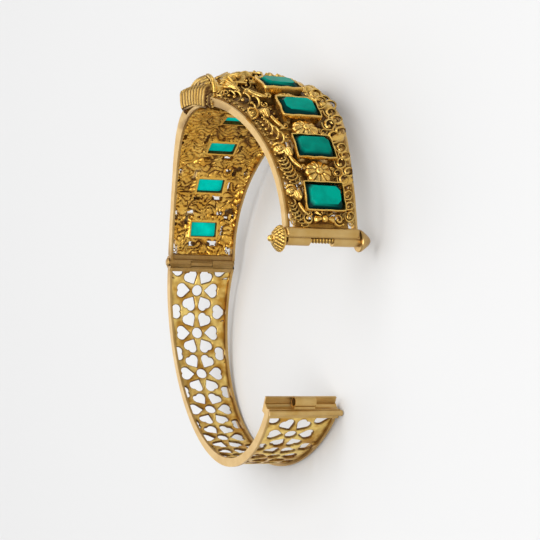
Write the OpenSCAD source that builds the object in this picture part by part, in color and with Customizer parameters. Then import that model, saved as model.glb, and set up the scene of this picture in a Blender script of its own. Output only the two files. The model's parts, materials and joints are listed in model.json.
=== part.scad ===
/* [Front half] */
// Radius of the front half, on the mid-line of its rails
front_r = 30; // [29.5:0.1:30.5]
// Angle from the crown to either end of the front half
front_end_deg = 87.8; // [87.4:0.1:88.2]
// Half width of both halves where they meet
end_half_w = 7.15; // [7.1:0.05:7.25]
// Extra half width at the crown
crown_flare = 5.3; // [5.2:0.05:5.4]
// Radial height of every edge rail
rail_h = 1.7; // [1.6:0.05:1.8]
// Thickness of every edge rail
rail_t = 0.5; // [0.45:0.05:0.6]

/* [Back half] */
// Radius of the back half's long middle arc
back_r = 30.9; // [30.7:0.1:31.1]
// Radius of its two shoulders, near the hinge and the clasp
shoulder_r = 21.65; // [21.5:0.05:21.8]
// Angle where the shoulder ends, from the hinge line
shoulder_deg = 85.7; // [85.5:0.1:85.9]
// Narrowing of the half width at the bottom of the back half
back_taper = 1.9; // [1.7:0.05:1.95]
// Thickness of the pierced sheet
sheet_t = 0.7; // [0.6:0.05:0.8]
// Distance between flowers of the pierced pattern
lattice_pitch = 9; // [8.8:0.05:9.2]
// Angle that the back half stands open from closed
open_deg = 29.1; // [5:0.1:40]

/* [Stones] */
// Angle between neighbouring stones
stone_step_deg = 18.6; // [18.4:0.1:18.8]
// Length of a stone across the band
stone_l = 7.1; // [6.9:0.05:7.2]
// Width of a stone along the band
stone_w = 4.4; // [4.2:0.05:4.5]

/* [Clasp] */
// Radius of the clasp knuckles
clasp_knuckle_r = 1.2; // [1.15:0.05:1.25]
// Radius of the clasp screw over its thread
screw_r = 0.72; // [0.65:0.01:0.74]
// Radius of the screw's knob and of the far finial
knob_r = 2.35; // [2.2:0.05:2.4]

/* [Hidden] */
stones_per_side = 4;

gold = "#c99a3c";
gold_dark = "#a9772a";
stone_green = "#0a9a86";

// Clearances
run_gap = 0.1;
fit_gap = 0.07;
seat_gap = 0.15;
eps = 0.01;
// Reach of a cut that passes right through, and of one that passes beyond the part
cut_low = -3;
cut_h = 8;
far = 40;

// Shape of the front half
front_c = -front_r * cos(front_end_deg);
half_span = front_r * sin(front_end_deg);
front_rise = front_r + front_c;
flare_power = 2.7;
rail_fn = 180;
bore_fn = 48;

// Shape of the back half, closed: the shoulders end on the clasp and hinge mid-lines
shoulder_x = half_span - shoulder_r * sin(shoulder_deg);
shoulder_y = shoulder_r * cos(shoulder_deg);
bend_deg = asin(shoulder_x / (back_r - shoulder_r));
back_c = shoulder_y + (back_r - shoulder_r) * cos(bend_deg);
back_rise = back_r - back_c;
shoulder_len = shoulder_r * (shoulder_deg - bend_deg) * PI / 180;
middle_len = back_r * 2 * bend_deg * PI / 180;
back_len = middle_len + 2 * shoulder_len;

// Hinge
hinge_in = 0.03;
hinge_x = -half_span - rail_h / 2 + hinge_in;
hinge_r = 1.4;
hinge_mid_w = 2.35;
hinge_end_w = 7.05;
pin_r = 0.55;
pin_head_r = 0.9;
pin_head_h = 0.45;
front_bar_h = 1.6;
back_bar_h = 1.3;
leaf_gap = 0.1;

// Clasp, centred on its screw
clasp_in = 0.18;
clasp_x = half_span - clasp_in;
bar_low = 0.2;
bar_high = 2.1;
bar_out = 1.8;
bar_half_w = 7.4;
knuckle_in_w = 2.35;
knuckle_out_w = 6.8;
centre_knuckle_w = 2.1;
screw_core_r = 0.56;
thread_pitch = 0.62;
screw_tip_w = -6.6;
knob_base_w = 7.6;
knob_tip_w = 10.4;
box_low = -2.9;
box_high = -1;
box_in = -1.85;
box_wall = -1.4;
box_wall_top = 1.1;
rod_r = 0.55;
rod_x = 1.15;
rod_y = -1.75;
rod_near_w = 7.1;
rod_far_w = 7.6;
finial_neck_r = 1.05;
block_half = 0.9;
block_top = -0.4;

// Pierced pattern of the back half
lattice_first = 5.6;
lattice_rows = 8;
lattice_w = 0.4;
heart_at = 3.15;
heart_w = 2.3;
heart_l = 2.7;
heart_notch = 0.35;
hole_r = 1;
corner_hole_r = 0.5;

// Openwork of the front half
strips_per_cell = 3;
panel_low = 0;
panel_high = 0.9;
panel_end_deg = 83.4;
panel_hinge_deg = 84.2;
bezel_t = 0.4;
bezel_top = 3.3;
bezel_ledge = 1.9;
window_in = 0.7;
table_o = 4;
girdle_o = 2.5;
stone_gap = 0.08;

// Crown boss: a fluted cap on each edge and a domed middle between two collars
boss_from_deg = -15;
boss_to_deg = 9.5;
boss_w = 8.2;
cap_w = 13.2;
flutes = 9;
flute_dip = 0.28;
collar_r = 0.5;
under_cap_o = -0.3;
channel_in_w = 11.1;
rosette_petals = 9;
rosette_o = 5.1;
boss_leaf_at = [5.5, 4.6, 3.6];

// Gaps of one cell: slots beside the bezel, diamonds between cells, slots along the rails
slot = [2.4, 0.7];
slot_from_bezel = 0.45;
diamond = 1.1;
diamond_deg = 6.4;
diamond_at_w = 2.9;
rail_slot = [1.6, 0.6];
rail_slots_deg = [4.6, -6.6];

// Raised ornaments of the openwork
relief_h = 1.3;
low_relief_h = 1;
bird_margin = 0.9;
curl_r = 0.62;
curl_t = 0.32;
bud_outline = [[-0.8, 0], [-0.5, 0.6], [0.3, 0.6], [1.4, 0], [0.3, -0.6], [-0.5, -0.6]];
neck_outline = [[-1.9, 0.2], [0, 0.35], [1.6, 0], [1.9, -0.35], [0, -0.1], [-1.9, -0.2]];
leaf_outline = [[-1.3, -0.3], [-0.2, -0.8], [1.2, 0], [0.2, 0.8], [-1, 0.5]];
boss_leaf_outline = [[-2.4, 0], [-1, 1.1], [1, 1.2], [2.6, 0], [1, -1.1], [-1, -1]];

// Placement: the bangle lies on its far edge, tilted as it comes to rest
rest_tilt_x = 6.505;
rest_tilt_y = -2.397;
rest_shift = [0.031, 3.091, 10.25];

function band_half_w(y) =
    end_half_w + crown_flare * pow(max(y, 0) / front_rise, flare_power);
function back_half_w(y) = end_half_w - back_taper * max(-y, 0) / back_rise;
function front_y(deg) = front_c + front_r * cos(deg);
function inner_half_w(deg) = band_half_w(front_y(deg)) - rail_t - run_gap;
// Half width at steps up the front half, drawn in from the edge
function side_steps(inset) = [for (y = [-3, 0, 6, 11, 15, 18, 21, 23.5, 26, 28, 30, 36])
    [y, band_half_w(y) - inset]];
function flipped(points) = [for (i = [len(points) - 1:-1:0]) [points[i][0], -points[i][1]]];

// Angle of the back half's outward normal at arc length s from the hinge
function back_deg(s) =
    s < shoulder_len ? -shoulder_deg + s / shoulder_r * 180 / PI
    : s < shoulder_len + middle_len ? -bend_deg + (s - shoulder_len) / back_r * 180 / PI
    : bend_deg + (s - shoulder_len - middle_len) / shoulder_r * 180 / PI;
function back_centre(deg) =
    abs(deg) <= bend_deg ? [0, back_c] : [sign(deg) * shoulder_x, shoulder_y];
function back_radius(deg) = abs(deg) <= bend_deg ? back_r : shoulder_r;
function back_point(s, o) = let (deg = back_deg(s))
    back_centre(deg) + (back_radius(deg) + o) * [sin(deg), -cos(deg)];

// Outline of a curved strip from angle a0 to a1
function arc_band(r, t, a0, a1, n) = concat(
    [for (i = [0:n]) let (a = a0 + (a1 - a0) * i / n) (r + t / 2) * [cos(a), sin(a)]],
    [for (i = [n:-1:0]) let (a = a0 + (a1 - a0) * i / n) (r - t / 2) * [cos(a), sin(a)]]);
function petal_ring(rx, ry, dip, petals) =
    [for (i = [0:2 * petals - 1]) let (a = i * 180 / petals, k = i % 2 == 0 ? 1 : dip)
        [rx * k * cos(a), ry * k * sin(a)]];
function cut_corner_rect(l, w, c) = [
    [l / 2, c - w / 2], [l / 2 - c, -w / 2], [c - l / 2, -w / 2], [-l / 2, c - w / 2],
    [-l / 2, w / 2 - c], [c - l / 2, w / 2], [l / 2 - c, w / 2], [l / 2, w / 2 - c]];
// Heart with its point on the -x side, centred on its middle, with a notch of the given depth
function heart(w, l, notch) = [
    [-l / 2, 0], [-l * 0.12, w * 0.36], [l * 0.14, w * 0.5], [l * 0.36, w * 0.44],
    [l * 0.49, w * 0.24], [l * 0.49 - notch, 0], [l * 0.49, -w * 0.24],
    [l * 0.36, -w * 0.44], [l * 0.14, -w * 0.5], [-l * 0.12, -w * 0.36]];

// Solid through a list of closed rings with equal numbers of points
module loft(rings) {
    n = len(rings[0]);
    m = len(rings);
    polyhedron(
        points = [for (ring = rings) each ring],
        faces = concat(
            [[for (i = [n - 1:-1:0]) i]],
            [for (j = [0:m - 2], i = [0:n - 1])
                [j * n + i, j * n + (i + 1) % n, (j + 1) * n + (i + 1) % n, (j + 1) * n + i]],
            [[for (i = [0:n - 1]) (m - 1) * n + i]]));
}

module placed() {
    translate(rest_shift) rotate([rest_tilt_x, rest_tilt_y, 0]) children();
}

module opened() {
    translate([hinge_x, 0, 0]) rotate([0, 0, -open_deg]) translate([-hinge_x, 0, 0]) children();
}

// Local axes on the front half: x along the band to the clasp, y to the far edge, z outward
module on_front(deg, w = 0, o = 0) {
    translate([0, front_c, 0]) rotate([0, 0, -deg]) translate([0, front_r + o, w])
        rotate([-90, 0, 0]) children();
}

// Local axes on the closed back half: x along the band to the clasp, y to the near edge, z outward
module on_back(s, w = 0, o = 0) {
    deg = back_deg(s);
    c = back_centre(deg);
    translate([c[0], c[1], 0]) rotate([0, 0, deg]) translate([0, -back_radius(deg) - o, w])
        rotate([90, 0, 0]) children();
}

module ring_sector(r, h, from_deg, to_deg, half_w) {
    rotate([0, 0, from_deg]) rotate_extrude(angle = to_deg - from_deg, $fn = rail_fn)
        translate([r - h / 2, -half_w]) square([h, 2 * half_w]);
}

// Bar along the band's width with a side outline that follows a width function
module side_band(points) {
    rotate([90, 0, 90]) linear_extrude(height = 2 * far, center = true) polygon(points);
}

module front_side(inset) {
    side_band(concat(side_steps(inset), flipped(side_steps(inset))));
}

module back_side(inset) {
    steps = [for (y = [-28, 0, 2]) [y, back_half_w(y) - inset]];
    side_band(concat(steps, flipped(steps)));
}

// Strip along the closed back half, h high about its mid-line
module back_ring(h, half_w) {
    n = 44;
    linear_extrude(height = 2 * half_w, center = true) polygon(concat(
        [for (i = [0:n]) back_point(back_len * i / n, h / 2)],
        [for (i = [n:-1:0]) back_point(back_len * i / n, -h / 2)]));
}

module box_between(low, high) {
    translate(low) cube(high - low);
}

// Pair of equal cylinders along the width, from w0 to w1 on both sides
module side_cylinders(r, w0, w1, fn = bore_fn) {
    for (side = [0, 1]) mirror([0, 0, side]) translate([0, 0, w0])
        cylinder(r = r, h = w1 - w0, $fn = fn);
}

// Ornate knob: rim, dome and small ball, base at z = 0
module knob() {
    h = knob_tip_w - knob_base_w;
    rotate_extrude($fn = bore_fn) polygon([
        [0, 0], [knob_r - 0.35, 0], [knob_r, 0.3], [knob_r, 0.7], [knob_r - 0.5, 1.2],
        [knob_r - 0.95, 1.75], [0.75, h - 0.75], [0.4, h - 0.5], [0.35, h - 0.1], [0, h]]);
}

module front_rails() {
    intersection() {
        translate([0, front_c, 0])
            ring_sector(front_r, rail_h, 90 - front_end_deg - 2, 90 + front_end_deg + 2, far);
        difference() {
            front_side(0);
            front_side(rail_t);
        }
    }
}

// Rails, hinge end bar with the middle knuckle, and the clasp's cover bar with two knuckles
module front_frame() placed() color(gold) {
    difference() {
        union() {
            difference() {
                union() {
                    front_rails();
                    box_between([-half_span - rail_h / 2, leaf_gap, eps - end_half_w],
                        [-half_span + rail_h / 2, front_bar_h, end_half_w - eps]);
                    box_between([half_span - rail_h / 2, bar_low, -bar_half_w],
                        [clasp_x + bar_out, bar_high, bar_half_w]);
                }
                // The rails run low under the caps of the crown boss
                boss_sector(under_cap_o, 3, 0.2, far);
                // Trim below the hinge and clasp lines, and room for the other half's knuckles
                box_between([-far, -far, -far], [0, leaf_gap, far]);
                box_between([0, -far, -far], [far, bar_low, far]);
                translate([hinge_x, 0, 0])
                    side_cylinders(hinge_r + run_gap, hinge_mid_w, end_half_w + 1);
                translate([clasp_x, 0, -knuckle_in_w])
                    cylinder(r = clasp_knuckle_r + seat_gap, h = 2 * knuckle_in_w, $fn = bore_fn);
            }
            translate([hinge_x, 0, -hinge_mid_w])
                cylinder(r = hinge_r, h = 2 * hinge_mid_w, $fn = bore_fn);
            translate([clasp_x, 0, 0])
                side_cylinders(clasp_knuckle_r, knuckle_in_w, knuckle_out_w);
            far_finial();
        }
        translate([hinge_x, 0, -far / 2]) cylinder(r = pin_r + fit_gap, h = far, $fn = bore_fn);
        translate([clasp_x, 0, -knuckle_out_w - eps])
            cylinder(r = screw_r + fit_gap, h = far / 2, $fn = bore_fn);
    }
}

// Sector under the crown boss between heights o0 and o1, wider by more degrees at each end
module boss_sector(o0, o1, more, half_w) {
    translate([0, front_c, 0])
        ring_sector(front_r + (o0 + o1) / 2, o1 - o0,
            90 - boss_to_deg - more, 90 - boss_from_deg + more, half_w);
}

module far_finial() {
    translate([clasp_x, 0, 0]) {
        translate([0, 0, -knob_base_w]) mirror([0, 0, 1]) knob();
        translate([0, 0, -knob_base_w - 0.2])
            cylinder(r = finial_neck_r, h = knob_base_w - knuckle_out_w + 0.4, $fn = bore_fn);
    }
}

module hinge_pin() placed() color(gold_dark) translate([hinge_x, 0, 0]) {
    reach = hinge_end_w + run_gap;
    translate([0, 0, -reach - pin_head_h / 2])
        cylinder(r = pin_r, h = 2 * reach + pin_head_h, $fn = bore_fn);
    for (side = [0, 1]) mirror([0, 0, side]) translate([0, 0, reach])
        rotate_extrude($fn = bore_fn) polygon([
            [0, 0], [pin_head_r, 0], [pin_head_r, 0.15], [pin_head_r - 0.25, 0.35],
            [0, pin_head_h]]);
}

// Threaded pin with ridges, neck and knob
module clasp_screw() placed() color(gold) translate([clasp_x, 0, 0]) {
    ridges = floor((knuckle_out_w - screw_tip_w) / thread_pitch) - 1;
    rotate_extrude($fn = bore_fn) polygon(concat(
        [[0, screw_tip_w], [screw_core_r, screw_tip_w]],
        [for (i = [0:ridges], j = [0:1]) [
            j == 0 ? screw_core_r : screw_r,
            screw_tip_w + 0.15 + (i + j / 2) * thread_pitch]],
        [[screw_core_r, knuckle_out_w], [screw_core_r, knob_base_w + 0.3],
         [0, knob_base_w + 0.3]]));
    translate([0, 0, knob_base_w]) knob();
}

// Rails, hinge end bar with the outer knuckles, and the clasp's channel, knuckle and lip
module back_frame() placed() opened() color(gold) {
    difference() {
        union() {
            difference() {
                union() {
                    intersection() {
                        back_ring(rail_h, far);
                        difference() {
                            back_side(0);
                            back_side(rail_t);
                        }
                    }
                    box_between([-half_span - rail_h / 2, -back_bar_h, eps - end_half_w],
                        [-half_span + rail_h / 2, -leaf_gap, end_half_w - eps]);
                    box_between([clasp_x + box_in, box_low, -end_half_w],
                        [half_span + rail_h / 2, box_high, end_half_w]);
                    box_between([clasp_x + box_in, box_high - 0.5, -end_half_w],
                        [clasp_x + box_wall, box_wall_top, end_half_w]);
                }
                box_between([-far, -leaf_gap, -far], [0, far, far]);
                box_between([clasp_x + box_wall, box_high, -far], [far, far, far]);
                translate([hinge_x, 0, -hinge_mid_w - run_gap])
                    cylinder(r = hinge_r + run_gap, h = 2 * (hinge_mid_w + run_gap), $fn = bore_fn);
                translate([clasp_x, 0, 0])
                    side_cylinders(clasp_knuckle_r + seat_gap, centre_knuckle_w, knob_base_w);
            }
            translate([hinge_x, 0, 0])
                side_cylinders(hinge_r, hinge_mid_w + run_gap, hinge_end_w);
            translate([clasp_x, 0, -centre_knuckle_w])
                cylinder(r = clasp_knuckle_r, h = 2 * centre_knuckle_w, $fn = bore_fn);
            box_between([clasp_x - block_half, box_high - 0.3, -centre_knuckle_w],
                [clasp_x + block_half, block_top, centre_knuckle_w]);
            translate([clasp_x + rod_x, rod_y, -rod_far_w])
                cylinder(r = rod_r, h = rod_far_w + rod_near_w, $fn = bore_fn);
        }
        translate([hinge_x, 0, -far / 2]) cylinder(r = pin_r + fit_gap, h = far, $fn = bore_fn);
        translate([clasp_x, 0, -centre_knuckle_w - eps])
            cylinder(r = screw_r + fit_gap, h = 2 * centre_knuckle_w + 2 * eps, $fn = bore_fn);
    }
}

// Pierced sheet: rows of flowers, each a round hole among six hearts
module back_lattice() placed() opened() color(gold) {
    difference() {
        intersection() {
            back_ring(sheet_t, far);
            back_side(rail_t + run_gap);
        }
        box_between([-far, -back_bar_h - run_gap, -far], [0, far, far]);
        box_between([0, box_low - run_gap, -far], [far, far, far]);
        for (row = [0:lattice_rows]) {
            s = lattice_first + row * lattice_pitch;
            on_back(s, lattice_w, cut_low) cylinder(r = hole_r, h = cut_h, $fn = 32);
            for (a = [30:60:330])
                on_back(s + heart_at * cos(a), lattice_w + heart_at * sin(a)) rotate([0, 0, a])
                    heart_cut(a % 180 == 90 ? 0 : heart_notch);
        }
        for (row = [-1:lattice_rows - 1], side = [-1, 1])
            on_back(lattice_first + (row + 0.5) * lattice_pitch,
                lattice_w + side * (lattice_pitch * sin(60) - heart_at))
                rotate([0, 0, -side * 90]) heart_cut(heart_notch);
        for (side = [-1, 1])
            on_back(back_len + box_low - 2 * corner_hole_r, side * (end_half_w - 2.3), cut_low)
                cylinder(r = corner_hole_r, h = cut_h, $fn = 24);
    }
}

module heart_cut(notch) {
    translate([0, 0, cut_low]) linear_extrude(height = cut_h)
        polygon(heart(heart_w, heart_l, notch));
}

// Thin strip of the openwork between angles a0 and a1, before it is pierced
module panel_strip(a0, a1) {
    mid = (a0 + a1) / 2;
    t = (front_r + panel_high) * tan((a1 - a0) / 2) + 0.02;
    w0 = inner_half_w(a0);
    w1 = inner_half_w(a1);
    on_front(mid, 0, panel_low) linear_extrude(height = panel_high - panel_low)
        polygon([[-t, -w0], [t, -w1], [t, w1], [-t, w0]]);
}

// Gaps of one cell, placed about its stone
module cell_gaps(deg) {
    wide = inner_half_w(deg) - 0.45;
    for (side = [-1, 1]) {
        gap_box(deg, side * (stone_l / 2 + bezel_t + slot_from_bezel), slot);
        for (end = [-1, 1]) on_front(deg + end * diamond_deg, -side * diamond_at_w, cut_low)
            rotate([0, 0, 45]) linear_extrude(height = cut_h) square(diamond, center = true);
        for (at = rail_slots_deg) gap_box(deg + at, side * wide, rail_slot);
    }
}

module gap_box(deg, w, size) {
    on_front(deg, -w, cut_low) linear_extrude(height = cut_h) square(size, center = true);
}

module bezel(deg) {
    l = stone_l + 2 * stone_gap;
    w = stone_w + 2 * stone_gap;
    on_front(deg) difference() {
        translate([0, 0, panel_low]) linear_extrude(height = bezel_top - panel_low)
            square([w + 2 * bezel_t, l + 2 * bezel_t], center = true);
        translate([0, 0, bezel_ledge]) linear_extrude(height = cut_h) square([w, l], center = true);
        translate([0, 0, cut_low]) linear_extrude(height = cut_h)
            square([w - 2 * window_in, l - 2 * window_in], center = true);
    }
}

module flower(deg) {
    on_front(deg, 0, panel_high - 0.2) {
        linear_extrude(height = relief_h, scale = 0.55) polygon(petal_ring(1.75, 2.5, 0.78, 9));
        cylinder(r1 = 0.75, r2 = 0.45, h = 1.9, $fn = 7);
    }
}

// Bird on the near strip: curled head, bud, long neck and a tail of curls
module bird(deg) {
    strip_in = stone_l / 2 + bezel_t + bird_margin;
    wide = inner_half_w(deg);
    k = min(1.5, max(0.8, (wide - strip_in) / 1.9));
    on_front(deg, (strip_in + wide) / 2 - 0.2, panel_high - 0.1) scale([k, k, 1]) {
        translate([-3.6 / k, -0.35, 0]) cylinder(r1 = 0.85, r2 = 0.4, h = relief_h, $fn = 8);
        translate([-2.9 / k, 0.75, 0]) linear_extrude(height = relief_h, scale = 0.4)
            polygon(bud_outline);
        translate([0.2, 1.1, 0]) rotate([0, 0, 18])
            linear_extrude(height = low_relief_h, scale = 0.7) polygon(neck_outline);
        for (i = [0:3]) translate([(-1.6 + i * 1.35) / k, -0.35 + 0.12 * i, 0])
            linear_extrude(height = relief_h) polygon(arc_band(curl_r, curl_t, -110, 100, 4));
    }
}

// Leaf plates and scrolls on the far strip
module leaves(deg) {
    strip_in = stone_l / 2 + bezel_t + bird_margin;
    on_front(deg, -(strip_in + inner_half_w(deg)) / 2, panel_high - 0.1) {
        for (t = [-3.4, 0, 3.2]) translate([t, 0, 0]) rotate([0, 0, 20])
            linear_extrude(height = low_relief_h, scale = 0.5) polygon(leaf_outline);
        for (t = [-1.8, 1.7]) translate([t, 0.1, 0])
            linear_extrude(height = relief_h) polygon(arc_band(curl_r, curl_t, 70, 290, 4));
    }
}

// Cast panel on one side of the crown boss: strips, bezels, flowers, birds and leaves
module openwork(side) placed() color(gold_dark) {
    from_deg = side < 0 ? -panel_hinge_deg : boss_to_deg + 0.3;
    to_deg = side < 0 ? boss_from_deg - 0.3 : panel_end_deg;
    count = stones_per_side * strips_per_cell;
    step = (to_deg - from_deg) / count;
    cells = [for (k = [1:stones_per_side]) side * k * stone_step_deg];
    difference() {
        union() {
            difference() {
                for (i = [0:count - 1]) panel_strip(from_deg + i * step, from_deg + (i + 1) * step);
                for (deg = cells) cell_gaps(deg);
                for (deg = cells) gap_box(deg, 0, [stone_w + bezel_t / 2, stone_l + bezel_t / 2]);
            }
            for (deg = cells) bezel(deg);
            for (k = [1:stones_per_side - 1]) flower(side * (k + 0.5) * stone_step_deg);
            for (deg = cells) bird(deg);
            for (deg = cells) leaves(deg);
            half_flower(side < 0 ? -81.7 : 81.2);
        }
        // A clean edge along the boss, the rails and the end bars
        boss_sector(cut_low, cut_h, 0.2, far);
        for (edge = [0, 1]) mirror([0, 0, edge]) rail_side();
        box_between([-far, -far, -far], [0, front_bar_h + run_gap, far]);
        box_between([0, -far, -far], [far, bar_high + run_gap, far]);
    }
}

// All that lies outside the openwork on the near side
module rail_side() {
    side_band(concat(side_steps(rail_t + run_gap), [[far, far], [-far, far]]));
}

module half_flower(deg) {
    on_front(deg, 0, panel_high - 0.2) {
        linear_extrude(height = relief_h, scale = 0.6) polygon(petal_ring(1.1, 2, 0.8, 8));
        cylinder(r1 = 0.6, r2 = 0.4, h = 1.7, $fn = 7);
        for (side = [-1, 1]) translate([0, side * 3.6, 0])
            linear_extrude(height = relief_h)
                polygon(arc_band(curl_r, curl_t, side * 60, side * 300, 5));
    }
}

// Fluted cap on the near edge, or a lower one on the far edge
module cap(side) {
    span = boss_to_deg - boss_from_deg;
    rise = side > 0 ? 1 : 0.8;
    mirror([0, 0, side < 0 ? 1 : 0]) loft([for (j = [0:2 * flutes]) let (
            u = j / flutes - 1,
            deg = boss_from_deg + span * j / (2 * flutes),
            fade = sqrt(max(0.12, 1 - pow(abs(u), 6))),
            dip = j % 2 == 0 ? flute_dip : 0)
        [for (q = [
            [boss_w - 0.2, -0.2], [cap_w - 1, -1.2], [cap_w - 0.2, -1.6],
            [cap_w - dip, -0.2], [cap_w - dip, 1.9 * rise],
            [cap_w - 0.8 - dip, 3.9 * rise - dip], [cap_w - 2.5 - dip / 2, 5.4 * rise - dip],
            [boss_w - 0.2, 6.1 - (1 - rise) * 2 - dip]])
            let (r = front_r + (q[1] > 0 ? q[1] * fade : q[1]))
            [r * sin(deg), front_c + r * cos(deg), q[0]]]]);
}

// Round bar that arches over the band beside a cap
module collar(side) {
    mid = (boss_from_deg + boss_to_deg) / 2;
    half = (boss_to_deg - boss_from_deg) / 2 - 0.8;
    loft([for (j = [0:12]) let (
            a = 180 - 15 * j,
            deg = mid + half * cos(a),
            o = 6.2 * pow(sin(a), 0.7) - 0.1)
        [for (i = [0:7]) let (
                b = 45 * i,
                d = deg + collar_r * sin(b) * cos(a) / front_r * 180 / PI,
                r = front_r + o + collar_r * sin(b) * max(0.2, sin(a)))
            [r * sin(d), front_c + r * cos(d), side * (boss_w - 0.3) + collar_r * cos(b)]]]);
}

// Dome between the collars, or the smaller one that hollows it
module dome(top, half_w, inset_deg, low) {
    mid = (boss_from_deg + boss_to_deg) / 2;
    half = (boss_to_deg - boss_from_deg) / 2 - inset_deg;
    loft([for (j = [0:8]) let (
            u = j / 4 - 1,
            deg = mid + u * half)
        concat(
            [for (i = [0:8]) let (
                v = 1 - i / 4,
                o = 1 + (top - 1) * sqrt(max(0.02, 1 - pow(abs(u), 2.6))) * (1 - 0.2 * v * v))
                [(front_r + o) * sin(deg), front_c + (front_r + o) * cos(deg), v * half_w]],
            [for (v = [-1, 1])
                [(front_r + low) * sin(deg), front_c + (front_r + low) * cos(deg), v * half_w]])]);
}

// Raised flower of petals about a round centre
module rosette() {
    for (i = [0:rosette_petals - 1]) rotate([0, 0, i * 360 / rosette_petals]) hull() {
        translate([0.6, 0, 0]) cylinder(r = 0.3, h = 1.3, $fn = 8);
        translate([2.1, 0, 0]) cylinder(r1 = 0.8, r2 = 0.55, h = 1.3, $fn = 10);
    }
    cylinder(r1 = 1, r2 = 0.6, h = 2.3, $fn = 10);
}

// Crown boss: fluted caps, collars, and a hollow dome with a rosette and leaves
module crown_boss() placed() color(gold) {
    mid = (boss_from_deg + boss_to_deg) / 2;
    difference() {
        union() {
            for (side = [-1, 1]) {
                cap(side);
                collar(side);
            }
            dome(5.6, boss_w, 0.1, -0.2);
            on_front(mid, 0, rosette_o) rosette();
            for (side = [-1, 1], end = [-1, 1])
                on_front(mid + end * boss_leaf_at[0], side * boss_leaf_at[1], boss_leaf_at[2])
                    rotate([0, 0, side * end * 35]) linear_extrude(height = 1.9, scale = 0.35)
                        polygon(boss_leaf_outline);
        }
        dome(4.3, boss_w - 1, 2, cut_low);
        // Channels for the rails
        difference() {
            boss_sector(cut_low, under_cap_o + run_gap, 1, band_half_w(front_rise) + run_gap);
            boss_sector(2 * cut_low, cut_h, 2, channel_in_w);
        }
    }
}

// Step-cut stone: flat back pane, pavilion, girdle, eight crown facets and a table
module stone(deg) placed() color(stone_green) on_front(deg) {
    loft([for (q = [
            [bezel_ledge + stone_gap, 2 * 0.1, 0.35], [girdle_o, 0, 0.4],
            [girdle_o + 0.45, 0, 0.4], [table_o, 1.3, 0.5]])
        [for (p = cut_corner_rect(stone_w - q[1], stone_l - q[1], q[2])) [p[0], p[1], q[0]]]]);
}

front_frame();
openwork(-1);  // openwork_hinge_side
openwork(1);  // openwork_clasp_side
crown_boss();
hinge_pin();
clasp_screw();
back_frame();
back_lattice();
for (i = [1:2 * stones_per_side]) stone((i - stones_per_side - (i <= stones_per_side ? 1 : 0)) * stone_step_deg);
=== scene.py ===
"""Kada bangle: cast gold openwork with green stones, a pierced back half, a hinge and a screw clasp."""

from __future__ import annotations

import copy
import json
import logging
import math
from collections.abc import Callable, Sequence
from dataclasses import dataclass, field
from enum import Enum

import bmesh
import bpy
import numpy as np
from mathutils import Matrix, Vector

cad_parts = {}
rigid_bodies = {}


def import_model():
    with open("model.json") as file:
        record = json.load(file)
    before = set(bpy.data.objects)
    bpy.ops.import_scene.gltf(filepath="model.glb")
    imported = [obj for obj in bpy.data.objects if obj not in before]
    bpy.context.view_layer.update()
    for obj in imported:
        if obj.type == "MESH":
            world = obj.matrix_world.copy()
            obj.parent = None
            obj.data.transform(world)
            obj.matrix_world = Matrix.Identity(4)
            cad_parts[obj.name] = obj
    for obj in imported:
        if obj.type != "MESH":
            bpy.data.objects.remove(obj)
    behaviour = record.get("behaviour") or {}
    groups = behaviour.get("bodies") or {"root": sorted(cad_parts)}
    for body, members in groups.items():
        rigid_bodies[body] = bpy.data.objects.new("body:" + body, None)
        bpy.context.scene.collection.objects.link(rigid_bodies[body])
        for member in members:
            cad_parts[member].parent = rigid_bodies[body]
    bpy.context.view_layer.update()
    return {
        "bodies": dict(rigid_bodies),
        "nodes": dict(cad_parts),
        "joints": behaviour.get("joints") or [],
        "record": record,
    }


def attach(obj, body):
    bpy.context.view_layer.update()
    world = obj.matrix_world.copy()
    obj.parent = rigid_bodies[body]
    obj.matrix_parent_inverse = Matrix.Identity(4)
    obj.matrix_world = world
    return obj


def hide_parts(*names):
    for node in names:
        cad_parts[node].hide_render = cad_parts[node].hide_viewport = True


LOG = logging.getLogger("kada")
MM = 0.001
Array = np.ndarray
Pair = tuple[float, float]
Spot = tuple[float, float, float]
Colour = tuple[float, float, float]
Field = Callable[[Array, Array], Array]
Rule = Callable[[Array], Array]


class Half(Enum):
    """The two halves of the bangle and the body that each rides on."""

    FRONT = "front_half"
    BACK = "back_half"


class Space(Enum):
    """Coordinates that a shape is modelled in before it is placed."""

    BAND = "flat, along the band, across it and outwards"
    AXES = "the bangle's own straight axes"


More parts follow.
